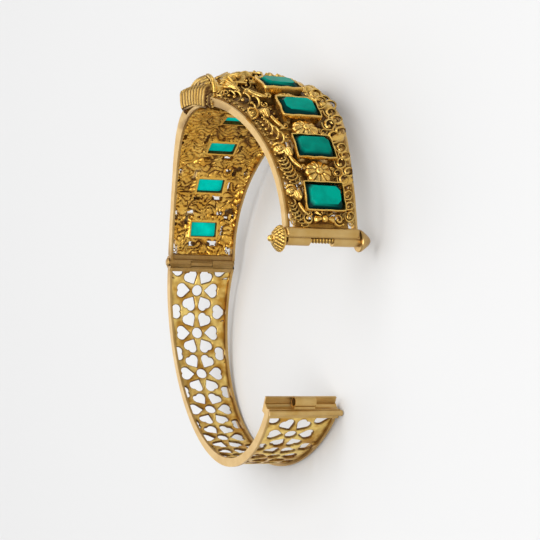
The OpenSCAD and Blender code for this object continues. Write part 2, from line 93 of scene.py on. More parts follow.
@dataclass(frozen=True)
class Bangle:
    """Curves of the two halves, in millimetres on the bangle's own axes, and how it lies on the floor."""

    radius: float = 30.0
    end_deg: float = 87.8
    end_half_w: float = 7.15
    flare: float = 5.3
    flare_power: float = 2.7
    back_radius: float = 30.9
    shoulder_radius: float = 21.65
    shoulder_deg: float = 85.7
    back_taper: float = 1.9
    open_deg: float = 29.1
    rail_t: float = 0.5
    run_gap: float = 0.1
    hinge_out: float = 0.82
    clasp_in: float = 0.18
    knob_w: float = 7.6
    tilt_x: float = 6.505
    tilt_y: float = -2.397
    shift: tuple[float, float, float] = (0.031, 3.091, 10.25)

    @property
    def span(self) -> float:
        """Half the distance between the hinge line and the clasp line."""
        return self.radius * math.sin(math.radians(self.end_deg))

    @property
    def centre(self) -> float:
        """Height of the front arc's centre above the hinge line."""
        return -self.radius * math.cos(math.radians(self.end_deg))

    @property
    def hinge_x(self) -> float:
        """Place of the hinge axis."""
        return -self.span - self.hinge_out

    @property
    def clasp_x(self) -> float:
        """Place of the screw's axis."""
        return self.span - self.clasp_in

    @property
    def bend(self) -> float:
        """Angle at which the back half's shoulders begin, in radians."""
        return math.asin(self.shoulder_centre[0] / (self.back_radius - self.shoulder_radius))

    @property
    def shoulder_centre(self) -> Pair:
        """Centre of the clasp side's shoulder arc."""
        angle = math.radians(self.shoulder_deg)
        return self.span - self.shoulder_radius * math.sin(angle), self.shoulder_radius * math.cos(angle)

    @property
    def back_centre(self) -> float:
        """Height of the back half's long arc's centre."""
        return self.shoulder_centre[1] + (self.back_radius - self.shoulder_radius) * math.cos(self.bend)

    @property
    def shoulder_len(self) -> float:
        """Length of one shoulder arc."""
        return self.shoulder_radius * (math.radians(self.shoulder_deg) - self.bend)

    @property
    def back_len(self) -> float:
        """Length of the back half from hinge line to clasp line."""
        return self.back_radius * 2 * self.bend + 2 * self.shoulder_len

    @property
    def posture(self) -> Matrix:
        """Turn from the bangle's own axes to the way it lies."""
        tilt_y, tilt_x = math.radians(self.tilt_y), math.radians(self.tilt_x)
        return Matrix.Rotation(tilt_y, 4, "Y") @ Matrix.Rotation(tilt_x, 4, "X")

    def front_half_w(self, u: Array | float) -> Array:
        """Half width of the front half over its rails, at lengths along the band from the crown."""
        rise = np.clip(self.centre + self.radius * np.cos(np.asarray(u) / self.radius), 0, None)
        return self.end_half_w + self.flare * (rise / (self.radius + self.centre)) ** self.flare_power

    def back_half_w(self, s: Array) -> Array:
        """Half width of the back half over its rails, at lengths along the band from the hinge line."""
        return self.back_half_w_at(self._back_curve(s, 0.0)[1])

    def back_half_w_at(self, y: Array) -> Array:
        """Half width of the closed back half over its rails, at heights on the bangle's own axes."""
        deepest = self.back_radius - self.back_centre
        return self.end_half_w - self.back_taper * np.clip(-y, 0, None) / deepest

    def _back_curve(self, s: Array, o: Array | float) -> tuple[Array, Array]:
        """Point of the closed back half at length s, o outside its mid-line."""
        first, second = self.shoulder_len, self.back_len - self.shoulder_len
        angle = np.where(
            s < first,
            -math.radians(self.shoulder_deg) + s / self.shoulder_radius,
            np.where(
                s < second,
                -self.bend + (s - first) / self.back_radius,
                self.bend + (s - second) / self.shoulder_radius,
            ),
        )
        middle = (s >= first) & (s <= second)
        cx = np.where(middle, 0.0, np.where(s < first, -1.0, 1.0) * self.shoulder_centre[0])
        cy = np.where(middle, self.back_centre, self.shoulder_centre[1])
        reach = np.where(middle, self.back_radius, self.shoulder_radius) + o
        return cx + reach * np.sin(angle), cy - reach * np.cos(angle)

    def _swung(self, x: Array, y: Array, degrees: float) -> tuple[Array, Array]:
        """Places turned about the hinge's axis."""
        turn, reach = math.radians(degrees), x - self.hinge_x
        along = self.hinge_x + reach * math.cos(turn) - y * math.sin(turn)
        return along, reach * math.sin(turn) + y * math.cos(turn)

    def wrap(self, points: Array, half: Half) -> Array:
        """Bends flat places onto a half's curve.

        Args:
            points: Rows of length along the band, place across it and height outwards.
            half: The half to bend them onto.

        Returns:
            Rows on the bangle's own axes.
        """
        u, w, o = points.T
        if half is Half.FRONT:
            turn = u / self.radius
            reach = self.radius + o
            return np.stack([reach * np.sin(turn), self.centre + reach * np.cos(turn), w], 1)
        x, y = self._back_curve(u, o)
        return np.stack([x, y, w], 1)

    def lay(self, points: Array, half: Half) -> Array:
        """Opens the back half and lays the bangle on the floor.

        Args:
            points: Rows on the bangle's own axes, both halves closed.
            half: The half that they belong to.

        Returns:
            Rows in the frame, in metres.
        """
        x, y, z = points.T
        if half is Half.BACK:
            x, y = self._swung(x, y, -self.open_deg)
        placed = np.stack([x, y, z], 1) @ np.array(self.posture.to_3x3()).T
        return (placed + np.array(self.shift)) * MM

    def stood(self, points: Array, half: Half) -> Array:
        """Undoes `lay`.

        Args:
            points: Rows in the frame, in metres.
            half: The half that they belong to.

        Returns:
            Rows on the bangle's own axes, both halves closed, in millimetres.
        """
        x, y, z = ((points / MM - np.array(self.shift)) @ np.array(self.posture.to_3x3())).T
        if half is Half.BACK:
            x, y = self._swung(x, y, self.open_deg)
        return np.stack([x, y, z], 1)


KADA = Bangle()


@dataclass(frozen=True)
class StoneRow:
    """How the stones sit on each side of the crown, those near it raised and tipped away from it."""

    count: int = 4
    pitch: float = math.radians(18.6) * KADA.radius
    lifts: tuple[float, ...] = (1.55, 0.7, 0.0, 0.0)
    tips: tuple[float, ...] = (0.15, 0.17, 0.0, 0.0)

    def raised(self, k: int, along: Array) -> Array:
        """Height that the seat of a stone adds, by the distance from its middle away from the crown."""
        return self.lifts[k - 1] - self.tips[k - 1] * along

    def nearest(self, u: Array) -> Array:
        """Distance along the band to the middle of the nearest stone."""
        return np.min([np.abs(np.abs(u) - k * self.pitch) for k in range(1, self.count + 1)], axis=0)


ROW = StoneRow()
MAP_CELL = 0.14


def at(
    x: float, y: float, z: float = 0.0, turn_deg: float = 0.0, size: float = 1.0, flip: bool = False
) -> Matrix:
    """Place of a copy.

    Args:
        x: Place along the band.
        y: Place across it.
        z: Height.
        turn_deg: Turn about the outward axis.
        size: Scale of the copy.
        flip: Whether it is mirrored across its own length.

    Returns:
        The matrix of that place.
    """
    mirror = Matrix.Diagonal((1, -1, 1, 1)) if flip else Matrix()
    turn = Matrix.Rotation(math.radians(turn_deg), 4, "Z")
    return Matrix.Translation((x, y, z)) @ turn @ Matrix.Scale(size, 4) @ mirror


class Stock:
    """A closed shape in the making: a bmesh in millimetres."""

    def __init__(self) -> None:
        """Starts with nothing."""
        self.bm = bmesh.new()

    def join(self, other: Stock, *places: Matrix) -> Stock:
        """Adds copies of another shape.

        Args:
            other: The shape to copy.
            places: Where each copy goes.

        Returns:
            This shape.
        """
        source = bpy.data.meshes.new("copy")
        other.bm.to_mesh(source)
        for place in places or (Matrix(),):
            mesh = source.copy()
            mesh.transform(place)
            if place.determinant() < 0:
                mesh.flip_normals()
            self.bm.from_mesh(mesh)
            bpy.data.meshes.remove(mesh)
        bpy.data.meshes.remove(source)
        return self

    def close(self, merge: float = 1e-4) -> Stock:
        """Merges doubles and points every face outwards."""
        bmesh.ops.remove_doubles(self.bm, verts=self.bm.verts, dist=merge)
        bmesh.ops.recalc_face_normals(self.bm, faces=self.bm.faces)
        return self

    def soften(self, width: float, segments: int = 2, angle_deg: float = 30.0) -> Stock:
        """Rounds every edge sharper than an angle."""
        limit = math.radians(angle_deg)
        edges = [e for e in self.bm.edges if len(e.link_faces) == 2 and e.calc_face_angle() > limit]
        bmesh.ops.bevel(
            self.bm, geom=edges, offset=width, offset_type="OFFSET", segments=segments, profile=0.5,
            affect="EDGES", clamp_overlap=True, material=-1,
        )
        return self

    def points(self) -> Array:
        """Every corner of the shape, as rows."""
        return np.array([v.co for v in self.bm.verts])

    def move(self, rule: Rule) -> Stock:
        """Moves every corner by a rule on rows of corners."""
        for vert, place in zip(self.bm.verts, rule(self.points())):
            vert.co = place
        return self


def block(low: Sequence[float], high: Sequence[float]) -> Stock:
    """Block between two corners."""
    stock = Stock()
    size = Vector(high) - Vector(low)
    middle = (Vector(high) + Vector(low)) / 2
    place = Matrix.Translation(middle) @ Matrix.Diagonal((*size, 1))
    bmesh.ops.create_cube(stock.bm, size=1.0, matrix=place)
    return stock


def loft(rings: Sequence[Sequence[Sequence[float]]], closed: bool = False) -> Stock:
    """Skin over a row of rings.

    Args:
        rings: The corners of each ring, in order.
        closed: Whether the last ring joins the first, as in a sleeve; otherwise both ends are filled.

    Returns:
        The closed shape.
    """
    stock = Stock()
    bm = stock.bm
    verts = list(bmesh.ops.create_circle(bm, cap_ends=False, segments=len(rings[0]), radius=1.0)["verts"])
    edges = bm.edges[:]
    ends = [edges]
    for vert, spot in zip(verts, rings[0]):
        vert.co = spot
    for ring in rings[1:]:
        grown = bmesh.ops.extrude_edge_only(bm, edges=edges)["geom"]
        made = {g for g in grown if isinstance(g, bmesh.types.BMVert)}
        edges = [g for g in grown if isinstance(g, bmesh.types.BMEdge)]
        follow = {e.other_vert(v): v for v in made for e in v.link_edges if e.other_vert(v) not in made}
        verts = [follow[v] for v in verts]
        for vert, spot in zip(verts, ring):
            vert.co = spot
    if not closed:
        for loop in (*ends, edges):
            bmesh.ops.edgeloop_fill(bm, edges=loop)
    return stock.close()


def even_turns(count: int) -> list[float]:
    """Angles of the corners of a ring."""
    return [math.tau * i / count for i in range(count)]


def turned(profile: Sequence[Pair], steps: int = 32) -> Stock:
    """Round piece about the z axis.

    Args:
        profile: Radius and height of each ring.
        steps: Sides of a ring.

    Returns:
        The closed shape.
    """
    return loft([[(r * math.cos(a), r * math.sin(a), z) for a in even_turns(steps)] for r, z in profile])


def oblong(half_u: float, half_w: float, corner: float, z: float) -> list[Spot]:
    """Ring on a rectangle with rounded corners.

    Args:
        half_u: Half its length along the band.
        half_w: Half its length across it.
        corner: Radius of its corners.
        z: Its height.

    Returns:
        Its corners, in order.
    """
    per_corner, per_side = 3, 5
    ring = []
    for quarter in range(4):
        away_u, away_w = 1 if quarter in (0, 3) else -1, 1 if quarter < 2 else -1
        for i in range(per_corner):
            turn = (quarter + i / (per_corner - 1)) * math.pi / 2
            u = away_u * (half_u - corner) + corner * math.cos(turn)
            ring.append((u, away_w * (half_w - corner) + corner * math.sin(turn), z))
    full = []
    for i, spot in enumerate(ring):
        full.append(spot)
        if i % per_corner == per_corner - 1:
            ahead = ring[(i + 1) % len(ring)]
            for j in range(1, per_side):
                full.append(tuple(a + (b - a) * j / per_side for a, b in zip(spot, ahead)))
    return full


def rod(path: Sequence[Sequence[float]], radii: Sequence[float], sides: int = 7, flat: float = 1.0) -> Stock:
    """Round wire along a path.

    Args:
        path: Its points.
        radii: Its radius at each point.
        sides: Sides of its section.
        flat: Height of the section over its width.

    Returns:
        The closed wire.
    """
    spots = [Vector(p) for p in path]
    last = len(spots) - 1
    ways = [(spots[min(i + 1, last)] - spots[max(i - 1, 0)]).normalized() for i in range(last + 1)]
    side = ways[0].cross(Vector((0, 0, 1)))
    side = side.normalized() if side.length > 1e-3 else Vector((1, 0, 0))
    rings = []
    for spot, way, radius in zip(spots, ways, radii):
        side = (side - way * side.dot(way)).normalized()
        up = way.cross(side)
        rings.append([
            spot + side * radius * math.cos(a) + up * radius * flat * math.sin(a) for a in even_turns(sides)
        ])
    return loft(rings)


def bead(radius: float, tall: float = 1.0, fine: int = 2) -> Stock:
    """Small ball, with its centre at the origin."""
    stock = Stock()
    shape = Matrix.Diagonal((1, 1, tall, 1))
    bmesh.ops.create_icosphere(stock.bm, subdivisions=fine, radius=radius, matrix=shape)
    return stock


def plate(
    length: float, outline: Callable[[float], float], rise: Callable[[float, float], float],
    cols: int = 12, rows: int = 10, depth: float = 0.5,
) -> Stock:
    """Raised plate such as a petal, a leaf or a bud.

    Args:
        length: Length along x, centred on the origin.
        outline: Half width at -1 to 1 along it.
        rise: Height at -1 to 1 along and across it.
        cols: Cells along it.
        rows: Cells across it.
        depth: How far its foot goes below zero.

    Returns:
        The closed plate.
    """
    stock, least_half_w = Stock(), 0.03
    bmesh.ops.create_grid(stock.bm, x_segments=cols, y_segments=rows, size=1.0)
    for vert in stock.bm.verts:
        s, t = max(-1.0, min(1.0, vert.co.x)), max(-1.0, min(1.0, vert.co.y))
        vert.co = (length / 2 * s, max(outline(s), least_half_w) * t, rise(s, t))
    rim = [e for e in stock.bm.edges if e.is_boundary]
    grown = bmesh.ops.extrude_edge_only(stock.bm, edges=rim)["geom"]
    for vert in (g for g in grown if isinstance(g, bmesh.types.BMVert)):
        vert.co.z = -depth
    bmesh.ops.edgeloop_fill(stock.bm, edges=[g for g in grown if isinstance(g, bmesh.types.BMEdge)])
    return stock.close()


def arc(
    radius: float, start_deg: float, end_deg: float, steps: int, z: Callable[[float], float],
    shrink: float = 0.0, stretch: float = 1.0,
) -> list[Vector]:
    """Points round part of a circle, or of a spiral that winds in.

    Args:
        radius: Its radius at the start.
        start_deg: Angle of the first point.
        end_deg: Angle of the last point.
        steps: Steps between them.
        z: Height at a share of the way.
        shrink: Share of the radius that is lost on the way.
        stretch: Its length along x over its width.

    Returns:
        The points.
    """
    spots = []
    for i in range(steps + 1):
        share = i / steps
        angle = math.radians(start_deg + (end_deg - start_deg) * share)
        reach = radius * (1 - shrink * share)
        spots.append(Vector((stretch * reach * math.cos(angle), reach * math.sin(angle), z(share))))
    return spots


def beaded(stock: Stock, *balls: tuple[float, float, float, float]) -> Stock:
    """Adds small balls, each given by its radius and its place."""
    for radius, *spot in balls:
        stock.join(bead(radius), at(*spot))
    return stock


def tapered(count: int, full: float, ends: float = 0.35) -> list[float]:
    """Radii of a wire that thins towards both ends."""
    return [full * (ends + (1 - ends) * math.sin(math.pi * (i + 0.5) / count) ** 0.5) for i in range(count)]


def dome(t: float, power: float = 2.0) -> float:
    """Height of a rounded section at -1 to 1 across it."""
    return math.sqrt(max(0.0, 1 - abs(t) ** power))


class Chasing:
    """Small raised shapes that the front half's relief is made of."""

    def __init__(self) -> None:
        """Makes each shape once."""
        self.bead = bead(0.27)
        self.crescent = self._crescent()
        self.scroll = self._scroll()
        self.ring = self._ring_scroll()
        self.bud = plate(2.7, self._bud_outline, self._bud_rise, 12, 20, 1.2)
        self.neck = self._neck()
        self.leaf = plate(3.0, lambda s: 0.8 * dome(s) * (1 - 0.3 * s), self._leaf_rise, 12, 12, 0.8)
        self.wing = plate(3.6, self._wing_outline, self._wing_rise, 14, 8, 0.9)
        self.feather = self._feather()
        self.loop = self._loop()
        self.head = self._head()
        self.flower = self._flower()
        self.half_flower = self._half_flower()
        self.shell = plate(3.2, lambda s: 0.3 + 1.15 * (1 + s) / 2, self._shell_rise, 12, 26, 1.0)

    @staticmethod
    def _crescent() -> Stock:
        """Curved wire, like a feather's end, with a bead inside it and one at its tip."""
        path = arc(1.08, 212, 418, 14, lambda t: 0.5 + 0.5 * math.sin(math.pi * t))
        wire = rod(path, tapered(len(path), 0.16, 0.6), 7, 1.25)
        return beaded(wire, (0.24, 0.3, -0.28, 0.6), (0.24, path[-1].x - 0.1, path[-1].y + 0.05, 0.62))

    @staticmethod
    def _feather() -> Stock:
        """Flat crescent of thin wire about a ball, for the strips that face along the band."""
        path = arc(1.12, 205, 425, 16, lambda t: 0.2 + 0.25 * math.sin(math.pi * t))
        wire = rod(path, tapered(len(path), 0.18, 0.7), 7, 1.1)
        return beaded(wire, (0.2, path[0].x + 0.08, path[0].y, 0.25), (0.3, 0.1, 0.0, 0.2))

    @staticmethod
    def _loop() -> Stock:
        """Long loop of thin wire that curls in round a small ball."""
        path = arc(1.1, -75, 425, 23, lambda t: 0.62 + 0.22 * math.sin(math.pi * t), shrink=0.6, stretch=1.25)
        path = [spot - Vector((0.1, 0, 0)) for spot in path]
        wire = rod(path, tapered(len(path), 0.175, 0.75), 6, 1.4)
        return beaded(wire, (0.26, path[-1].x * 0.3, path[-1].y * 0.3, 0.6))

    @staticmethod
    def _scroll() -> Stock:
        """Spiral that winds in to a bead."""
        path = arc(1.15, -60, 410, 21, lambda t: 0.55 + 0.35 * t, shrink=0.7)
        wire = rod(path, [0.23 * (1 - 0.25 * i / 21) for i in range(22)], 7, 1.3)
        return beaded(wire, (0.3, path[-1].x, path[-1].y, 0.85))

    @staticmethod
    def _ring_scroll() -> Stock:
        """Nearly closed ring with a bead in it and one at its mouth."""
        path = arc(0.95, -150, 135, 14, lambda t: 0.7 + 0.2 * math.sin(math.pi * t))
        wire = rod(path, tapered(len(path), 0.2, 0.6), 7, 1.3)
        return beaded(wire, (0.33, 0, 0, 0.62), (0.3, path[-1].x, path[-1].y, 0.75))

    @staticmethod
    def _bud_outline(s: float) -> float:
        """Round bud with a short tip at the far end."""
        if s >= 0.98:
            return 0.05
        return 1.08 * dome((s + 0.22) / 1.22 if s < 0.55 else 1 - (1 - s) * 0.37, 2.2)

    @staticmethod
    def _bud_rise(s: float, t: float) -> float:
        """Dome with ribs that run to the tip."""
        return dome(t) * dome(s, 3.0) + 0.2 * abs(math.cos(2.5 * math.pi * t)) * (1 - s * s) - 0.1

    @staticmethod
    def _neck() -> Stock:
        """Long smooth leaf that ends in a small scroll."""
        blade = plate(
            3.9, lambda s: 0.2 + 0.33 * max(0.0, math.cos(s * 1.3)) ** 0.7,
            lambda s, t: 0.5 * dome(t) + 0.75 - 0.1 * s * s, 14, 8, 0.5,
        )
        blade.move(lambda p: np.stack([p[:, 0], p[:, 1] - 0.07 * p[:, 0] ** 2, p[:, 2]], 1))
        path = arc(0.52, 75, -190, 12, lambda t: 0.85)
        curl = rod(path, [0.25 - 0.06 * i / 12 for i in range(13)], 8)
        beaded(curl, (0.26, path[-1].x * 0.3, path[-1].y * 0.3, 0.9))
        return blade.join(curl, at(1.95, -0.75, 0.0))

    @staticmethod
    def _leaf_rise(s: float, t: float) -> float:
        """Leaf with a raised rib and slanting veins."""
        veins = 0.08 * math.cos(7 * (s + 0.55 * abs(t)))
        return 0.8 * dome(t * 0.96) * (1 - 0.4 * s * s) + veins + 0.14 * math.exp(-30 * t * t)

    @staticmethod
    def _wing_outline(s: float) -> float:
        """Broad at its root, with both ends rounded."""
        return (0.5 + 0.45 * (1 - s) / 2 + 0.1 * math.cos(2 * s)) * math.sqrt(max(0.01, 1 - abs(s) ** 5))

    @staticmethod
    def _wing_rise(s: float, t: float) -> float:
        """Broad smooth leaf, rolled along its length."""
        return 0.75 + 0.5 * dome(t * 0.97) - 0.2 * s * s + 0.1 * math.cos(3 * math.pi * t) * (1 - s) / 2

    @staticmethod
    def _shell_rise(s: float, t: float) -> float:
        """Fan with ribs that spread from its root."""
        ribs = 0.22 * abs(math.cos(3.5 * math.pi * t)) * (1 + s) / 2
        return 0.5 + 0.55 * dome(t * 0.97) * (1 - 0.3 * s * s) + ribs

    @staticmethod
    def _head() -> Stock:
        """Bird's round head with a ribbed crest that curls over it."""
        stock = Stock().join(plate(
            2.0, lambda s: 0.92 * dome(s), lambda s, t: dome(t * 0.98) * dome(s * 0.98) + 0.2, 10, 10, 0.9,
        ))
        steps = 30
        crest = arc(1.12, -175, 95, steps, lambda t: 0.72 + 0.25 * math.sin(math.pi * t))
        swell = [0.34 * (0.7 + 0.3 * math.sin(math.pi * i / steps)) for i in range(steps + 1)]
        stock.join(rod(crest, [full * (1 + 0.24 * (-1) ** i) for i, full in enumerate(swell)], 8))
        eye = (0.15, -0.1)
        stock.join(rod(arc(0.5, -140, 170, 12, lambda t: 1.08), tapered(13, 0.15, 0.6), 6), at(*eye))
        return beaded(stock, (0.27, *eye, 1.2))

    @staticmethod
    def _petal(length: float, width: float, depth: float) -> Stock:
        """Petal with its root at the origin, pointing along x."""
        def rise(s: float, t: float) -> float:
            """Cup with two grooves that fade towards the tip."""
            cup = 0.75 * dome(0.97 * t) * dome(0.93 * s, 4.0) - 0.25 * s
            return cup - 0.12 * abs(math.sin(1.5 * math.pi * t)) * (0.4 + 0.6 * (1 - s) / 2) + 0.15

        petal = plate(length, lambda s: width * dome(s, 5.0) * (0.66 + 0.34 * s), rise, 9, 12, depth)
        return Stock().join(petal, at(length / 2, 0))

    def _flower(self) -> Stock:
        """Flower of grooved petals round a ball on a stalk, longer across the band."""
        petals, root_r, long_r, short_r = 10, 0.55, 2.62, 2.4
        stock = Stock()
        petal = self._petal(long_r - root_r, 0.86, 0.3)
        for i in range(petals):
            angle = math.tau * (i + 0.5) / petals
            reach = short_r + (long_r - short_r) * abs(math.sin(angle)) ** 1.5
            longer = Matrix.Diagonal(((reach - root_r) / (long_r - root_r), 1, 1, 1))
            turn = Matrix.Rotation(angle, 4, "Z")
            stock.join(petal, turn @ Matrix.Translation((root_r, 0, 0)) @ longer)
        stock.join(bead(0.72, 0.9, 3), at(0, 0, 0.7))
        stock.join(rod(arc(0.88, 0, 345, 16, lambda t: 0.5), [0.16] * 17, 6))
        stock.join(turned([(0.95, -1.3), (0.75, -0.8), (0.8, 0.2)], 12))
        dots = [at(1.05 * math.cos(a), 1.05 * math.sin(a), 0.5, size=0.55) for a in even_turns(12)]
        return stock.join(self.bead, *dots)

    def _half_flower(self) -> Stock:
        """Fan of five petals between two round ones, and a ball."""
        stock = Stock()
        petal = self._petal(1.75, 0.5, 0.8)
        for turn_deg in (-56, -28, 0, 28, 56):
            turn = math.radians(turn_deg)
            stock.join(petal, at(-0.45 * math.cos(turn), -0.45 * math.sin(turn), 0.1, 180 + turn_deg))
        stock.join(self._petal(1.55, 0.8, 0.8), at(0.15, 0.5, 0.25, 90), at(0.15, -0.5, 0.25, -90))
        return stock.join(bead(0.62, 1, 3), at(0.1, 0, 0.75))


class HeightMap:
    """Greatest height of the relief over a flat grid."""

    def __init__(self, low: Pair, high: Pair, cell: float, floor: float) -> None:
        """Starts level.

        Args:
            low: Lowest place along and across the band.
            high: Highest place along and across the band.
            cell: Width of a cell.
            floor: Height where nothing lies.
        """
        self.low = np.array(low)
        self.cell = cell
        self.shape = tuple(int(n) for n in np.ceil((np.array(high) - self.low) / cell) + 1)
        self.height = np.full(self.shape, floor)

    def lay(self, points: Array) -> None:
        """Raises the map to the given corners and closes the small holes between them."""
        cells = ((points[:, :2] - self.low) / self.cell).round().astype(int)
        ij = np.clip(cells, 0, np.array(self.shape) - 1)
        np.maximum.at(self.height, (ij[:, 0], ij[:, 1]), points[:, 2])
        padded = np.pad(self.height, 1, mode="edge")
        rows, cols = self.shape
        self.height = np.max([padded[i:i + rows, j:j + cols] for i in range(3) for j in range(3)], axis=0)

    def blurred(self, cells: int, rounds: int = 2) -> HeightMap:
        """Copy of the map, smoothed.

        Args:
            cells: Reach of one pass.
            rounds: Passes.

        Returns:
            The smooth map.
        """
        smooth = copy.copy(self)
        width = 2 * cells + 1
        for axis in (0, 1) * rounds:
            pad = [(cells + 1, cells) if a == axis else (0, 0) for a in (0, 1)]
            total = np.cumsum(np.pad(smooth.height, pad, mode="edge"), axis=axis)
            take = [slice(width, None) if a == axis else slice(None) for a in (0, 1)]
            drop = [slice(None, -width) if a == axis else slice(None) for a in (0, 1)]
            smooth.height = (total[tuple(take)] - total[tuple(drop)]) / width
        return smooth

    def at(self, u: Array, w: Array) -> Array:
        """Height at places along and across the band, between cells too."""
        place = (np.stack([u, w], 1) - self.low) / self.cell
        place = np.clip(place, 0, np.array(self.shape) - 1.001)
        base = place.astype(int)
        (fu, fw), (i, j) = (place - base).T, base.T
        top = self.height[i, j] * (1 - fw) + self.height[i, j + 1] * fw
        end = self.height[i + 1, j] * (1 - fw) + self.height[i + 1, j + 1] * fw
        return top * (1 - fu) + end * fu


class Swirls:
    """Wandering ridges, as on the rough inner face of a casting; the same on every run."""

    def __init__(self, pitch: float, seed: int, waves: int = 12) -> None:
        """Chooses the waves.

        Args:
            pitch: Distance from ridge to ridge.
            seed: Start of the random numbers.
            waves: How many waves are added.
        """
        chance = np.random.default_rng(seed)
        turn = chance.uniform(0, math.tau, waves)
        size = math.tau / (pitch * chance.uniform(1.5, 2.6, waves))
        self.reach = np.stack([size * np.cos(turn), size * np.sin(turn)])
        self.start = chance.uniform(0, math.tau, waves)
        self.even = math.sqrt(2 / waves)

    def height(self, u: Array, w: Array) -> Array:
        """Ridge height from 0 to 1, with narrow valleys between round ridges."""
        bent_u = u + 0.45 * np.sin(1.7 * w + 0.9 * np.sin(1.1 * u))
        bent_w = w + 0.45 * np.sin(1.9 * u + 0.8 * np.sin(1.3 * w))
        wave = np.cos(np.stack([bent_u, bent_w], -1) @ self.reach + self.start).sum(-1) * self.even
        return np.sqrt(1 - (1 - np.clip(np.abs(wave) / 1.1, 0, 1)) ** 2)


@dataclass
class Sheet:
    """Sheet cut from a fine grid; `metal` is above zero in the metal and zero on every cut edge."""

    low: Pair
    high: Pair
    cell: float
    metal: Field
    top: Field
    bottom: Field

    def cut(self) -> Stock:
        """Cuts the outline and the holes, and gives the sheet its two faces.

        Returns:
            The closed sheet.
        """
        stock = Stock()
        bm = stock.bm
        size = [self.high[i] - self.low[i] for i in (0, 1)]
        middle = [(self.high[i] + self.low[i]) / 2 for i in (0, 1)]
        place = Matrix.Translation((*middle, 0)) @ Matrix.Diagonal((size[0] / 2, size[1] / 2, 1, 1))
        cells = [round(s / self.cell) for s in size]
        bmesh.ops.create_grid(bm, x_segments=cells[0], y_segments=cells[1], size=1.0, matrix=place)
        centres = np.array([f.calc_center_median() for f in bm.faces])
        out = self.metal(centres[:, 0], centres[:, 1]) < 0
        bmesh.ops.delete(bm, geom=[f for f, gone in zip(bm.faces, out) if gone], context="FACES")
        rim = [v for v in bm.verts if v.is_boundary]
        spots = self._snapped(np.array([v.co for v in rim]))
        for vert, spot in zip(rim, spots):
            vert.co = spot
        grown = bmesh.ops.extrude_face_region(bm, geom=bm.faces[:])["geom"]
        for vert in (g for g in grown if isinstance(g, bmesh.types.BMVert)):
            vert.co.z = 1.0
        stock.move(self._raised)
        bmesh.ops.recalc_face_normals(bm, faces=bm.faces)
        return stock

    def _snapped(self, spots: Array) -> Array:
        """Moves corners of the cut onto its true line."""
        step, rounds, flattest, furthest = 0.02, 3, 0.05, 0.72 * self.cell
        start = spots.copy()
        for _ in range(rounds):
            u, w = spots[:, 0], spots[:, 1]
            value = self.metal(u, w)
            slope = np.stack([self.metal(u + step, w) - value, self.metal(u, w + step) - value], 1) / step
            strength = np.maximum((slope**2).sum(1), flattest)
            spots[:, :2] -= slope * (value / strength)[:, None]
        moved = spots - start
        reach = np.linalg.norm(moved, axis=1, keepdims=True)
        return start + moved * np.minimum(1, furthest / np.maximum(reach, 1e-9))

    def _raised(self, points: Array) -> Array:
        """Heights of both faces."""
        u, w, z = points.T
        return np.stack([u, w, np.where(z > 0.5, self.top(u, w), self.bottom(u, w))], 1)


class Link:
    """A node's output, or a number, that can be used in an expression."""

    def __init__(self, bench: Bench, source: bpy.types.NodeSocket | float) -> None:
        """Wraps a socket or a number."""
        self.bench = bench
        self.source = source

    def _maths(self, operation: str, *values: Link | float) -> Link:
        """Adds a Math node."""
        return self.bench.node("ShaderNodeMath", {"operation": operation}, dict(enumerate(values)))

    def __add__(self, other: Link | float) -> Link:
        """Sum."""
        return self._maths("ADD", self, other)

    __radd__ = __add__

    def __sub__(self, other: Link | float) -> Link:
        """Difference."""
        return self._maths("SUBTRACT", self, other)

    def __rsub__(self, other: Link | float) -> Link:
        """Difference from a number."""
        return self._maths("SUBTRACT", other, self)

    def __mul__(self, other: Link | float) -> Link:
        """Product."""
        return self._maths("MULTIPLY", self, other)

    __rmul__ = __mul__

    def clamped(self) -> Link:
        """The value kept between 0 and 1."""
        return self.bench.node("ShaderNodeClamp", {}, {"Value": self})


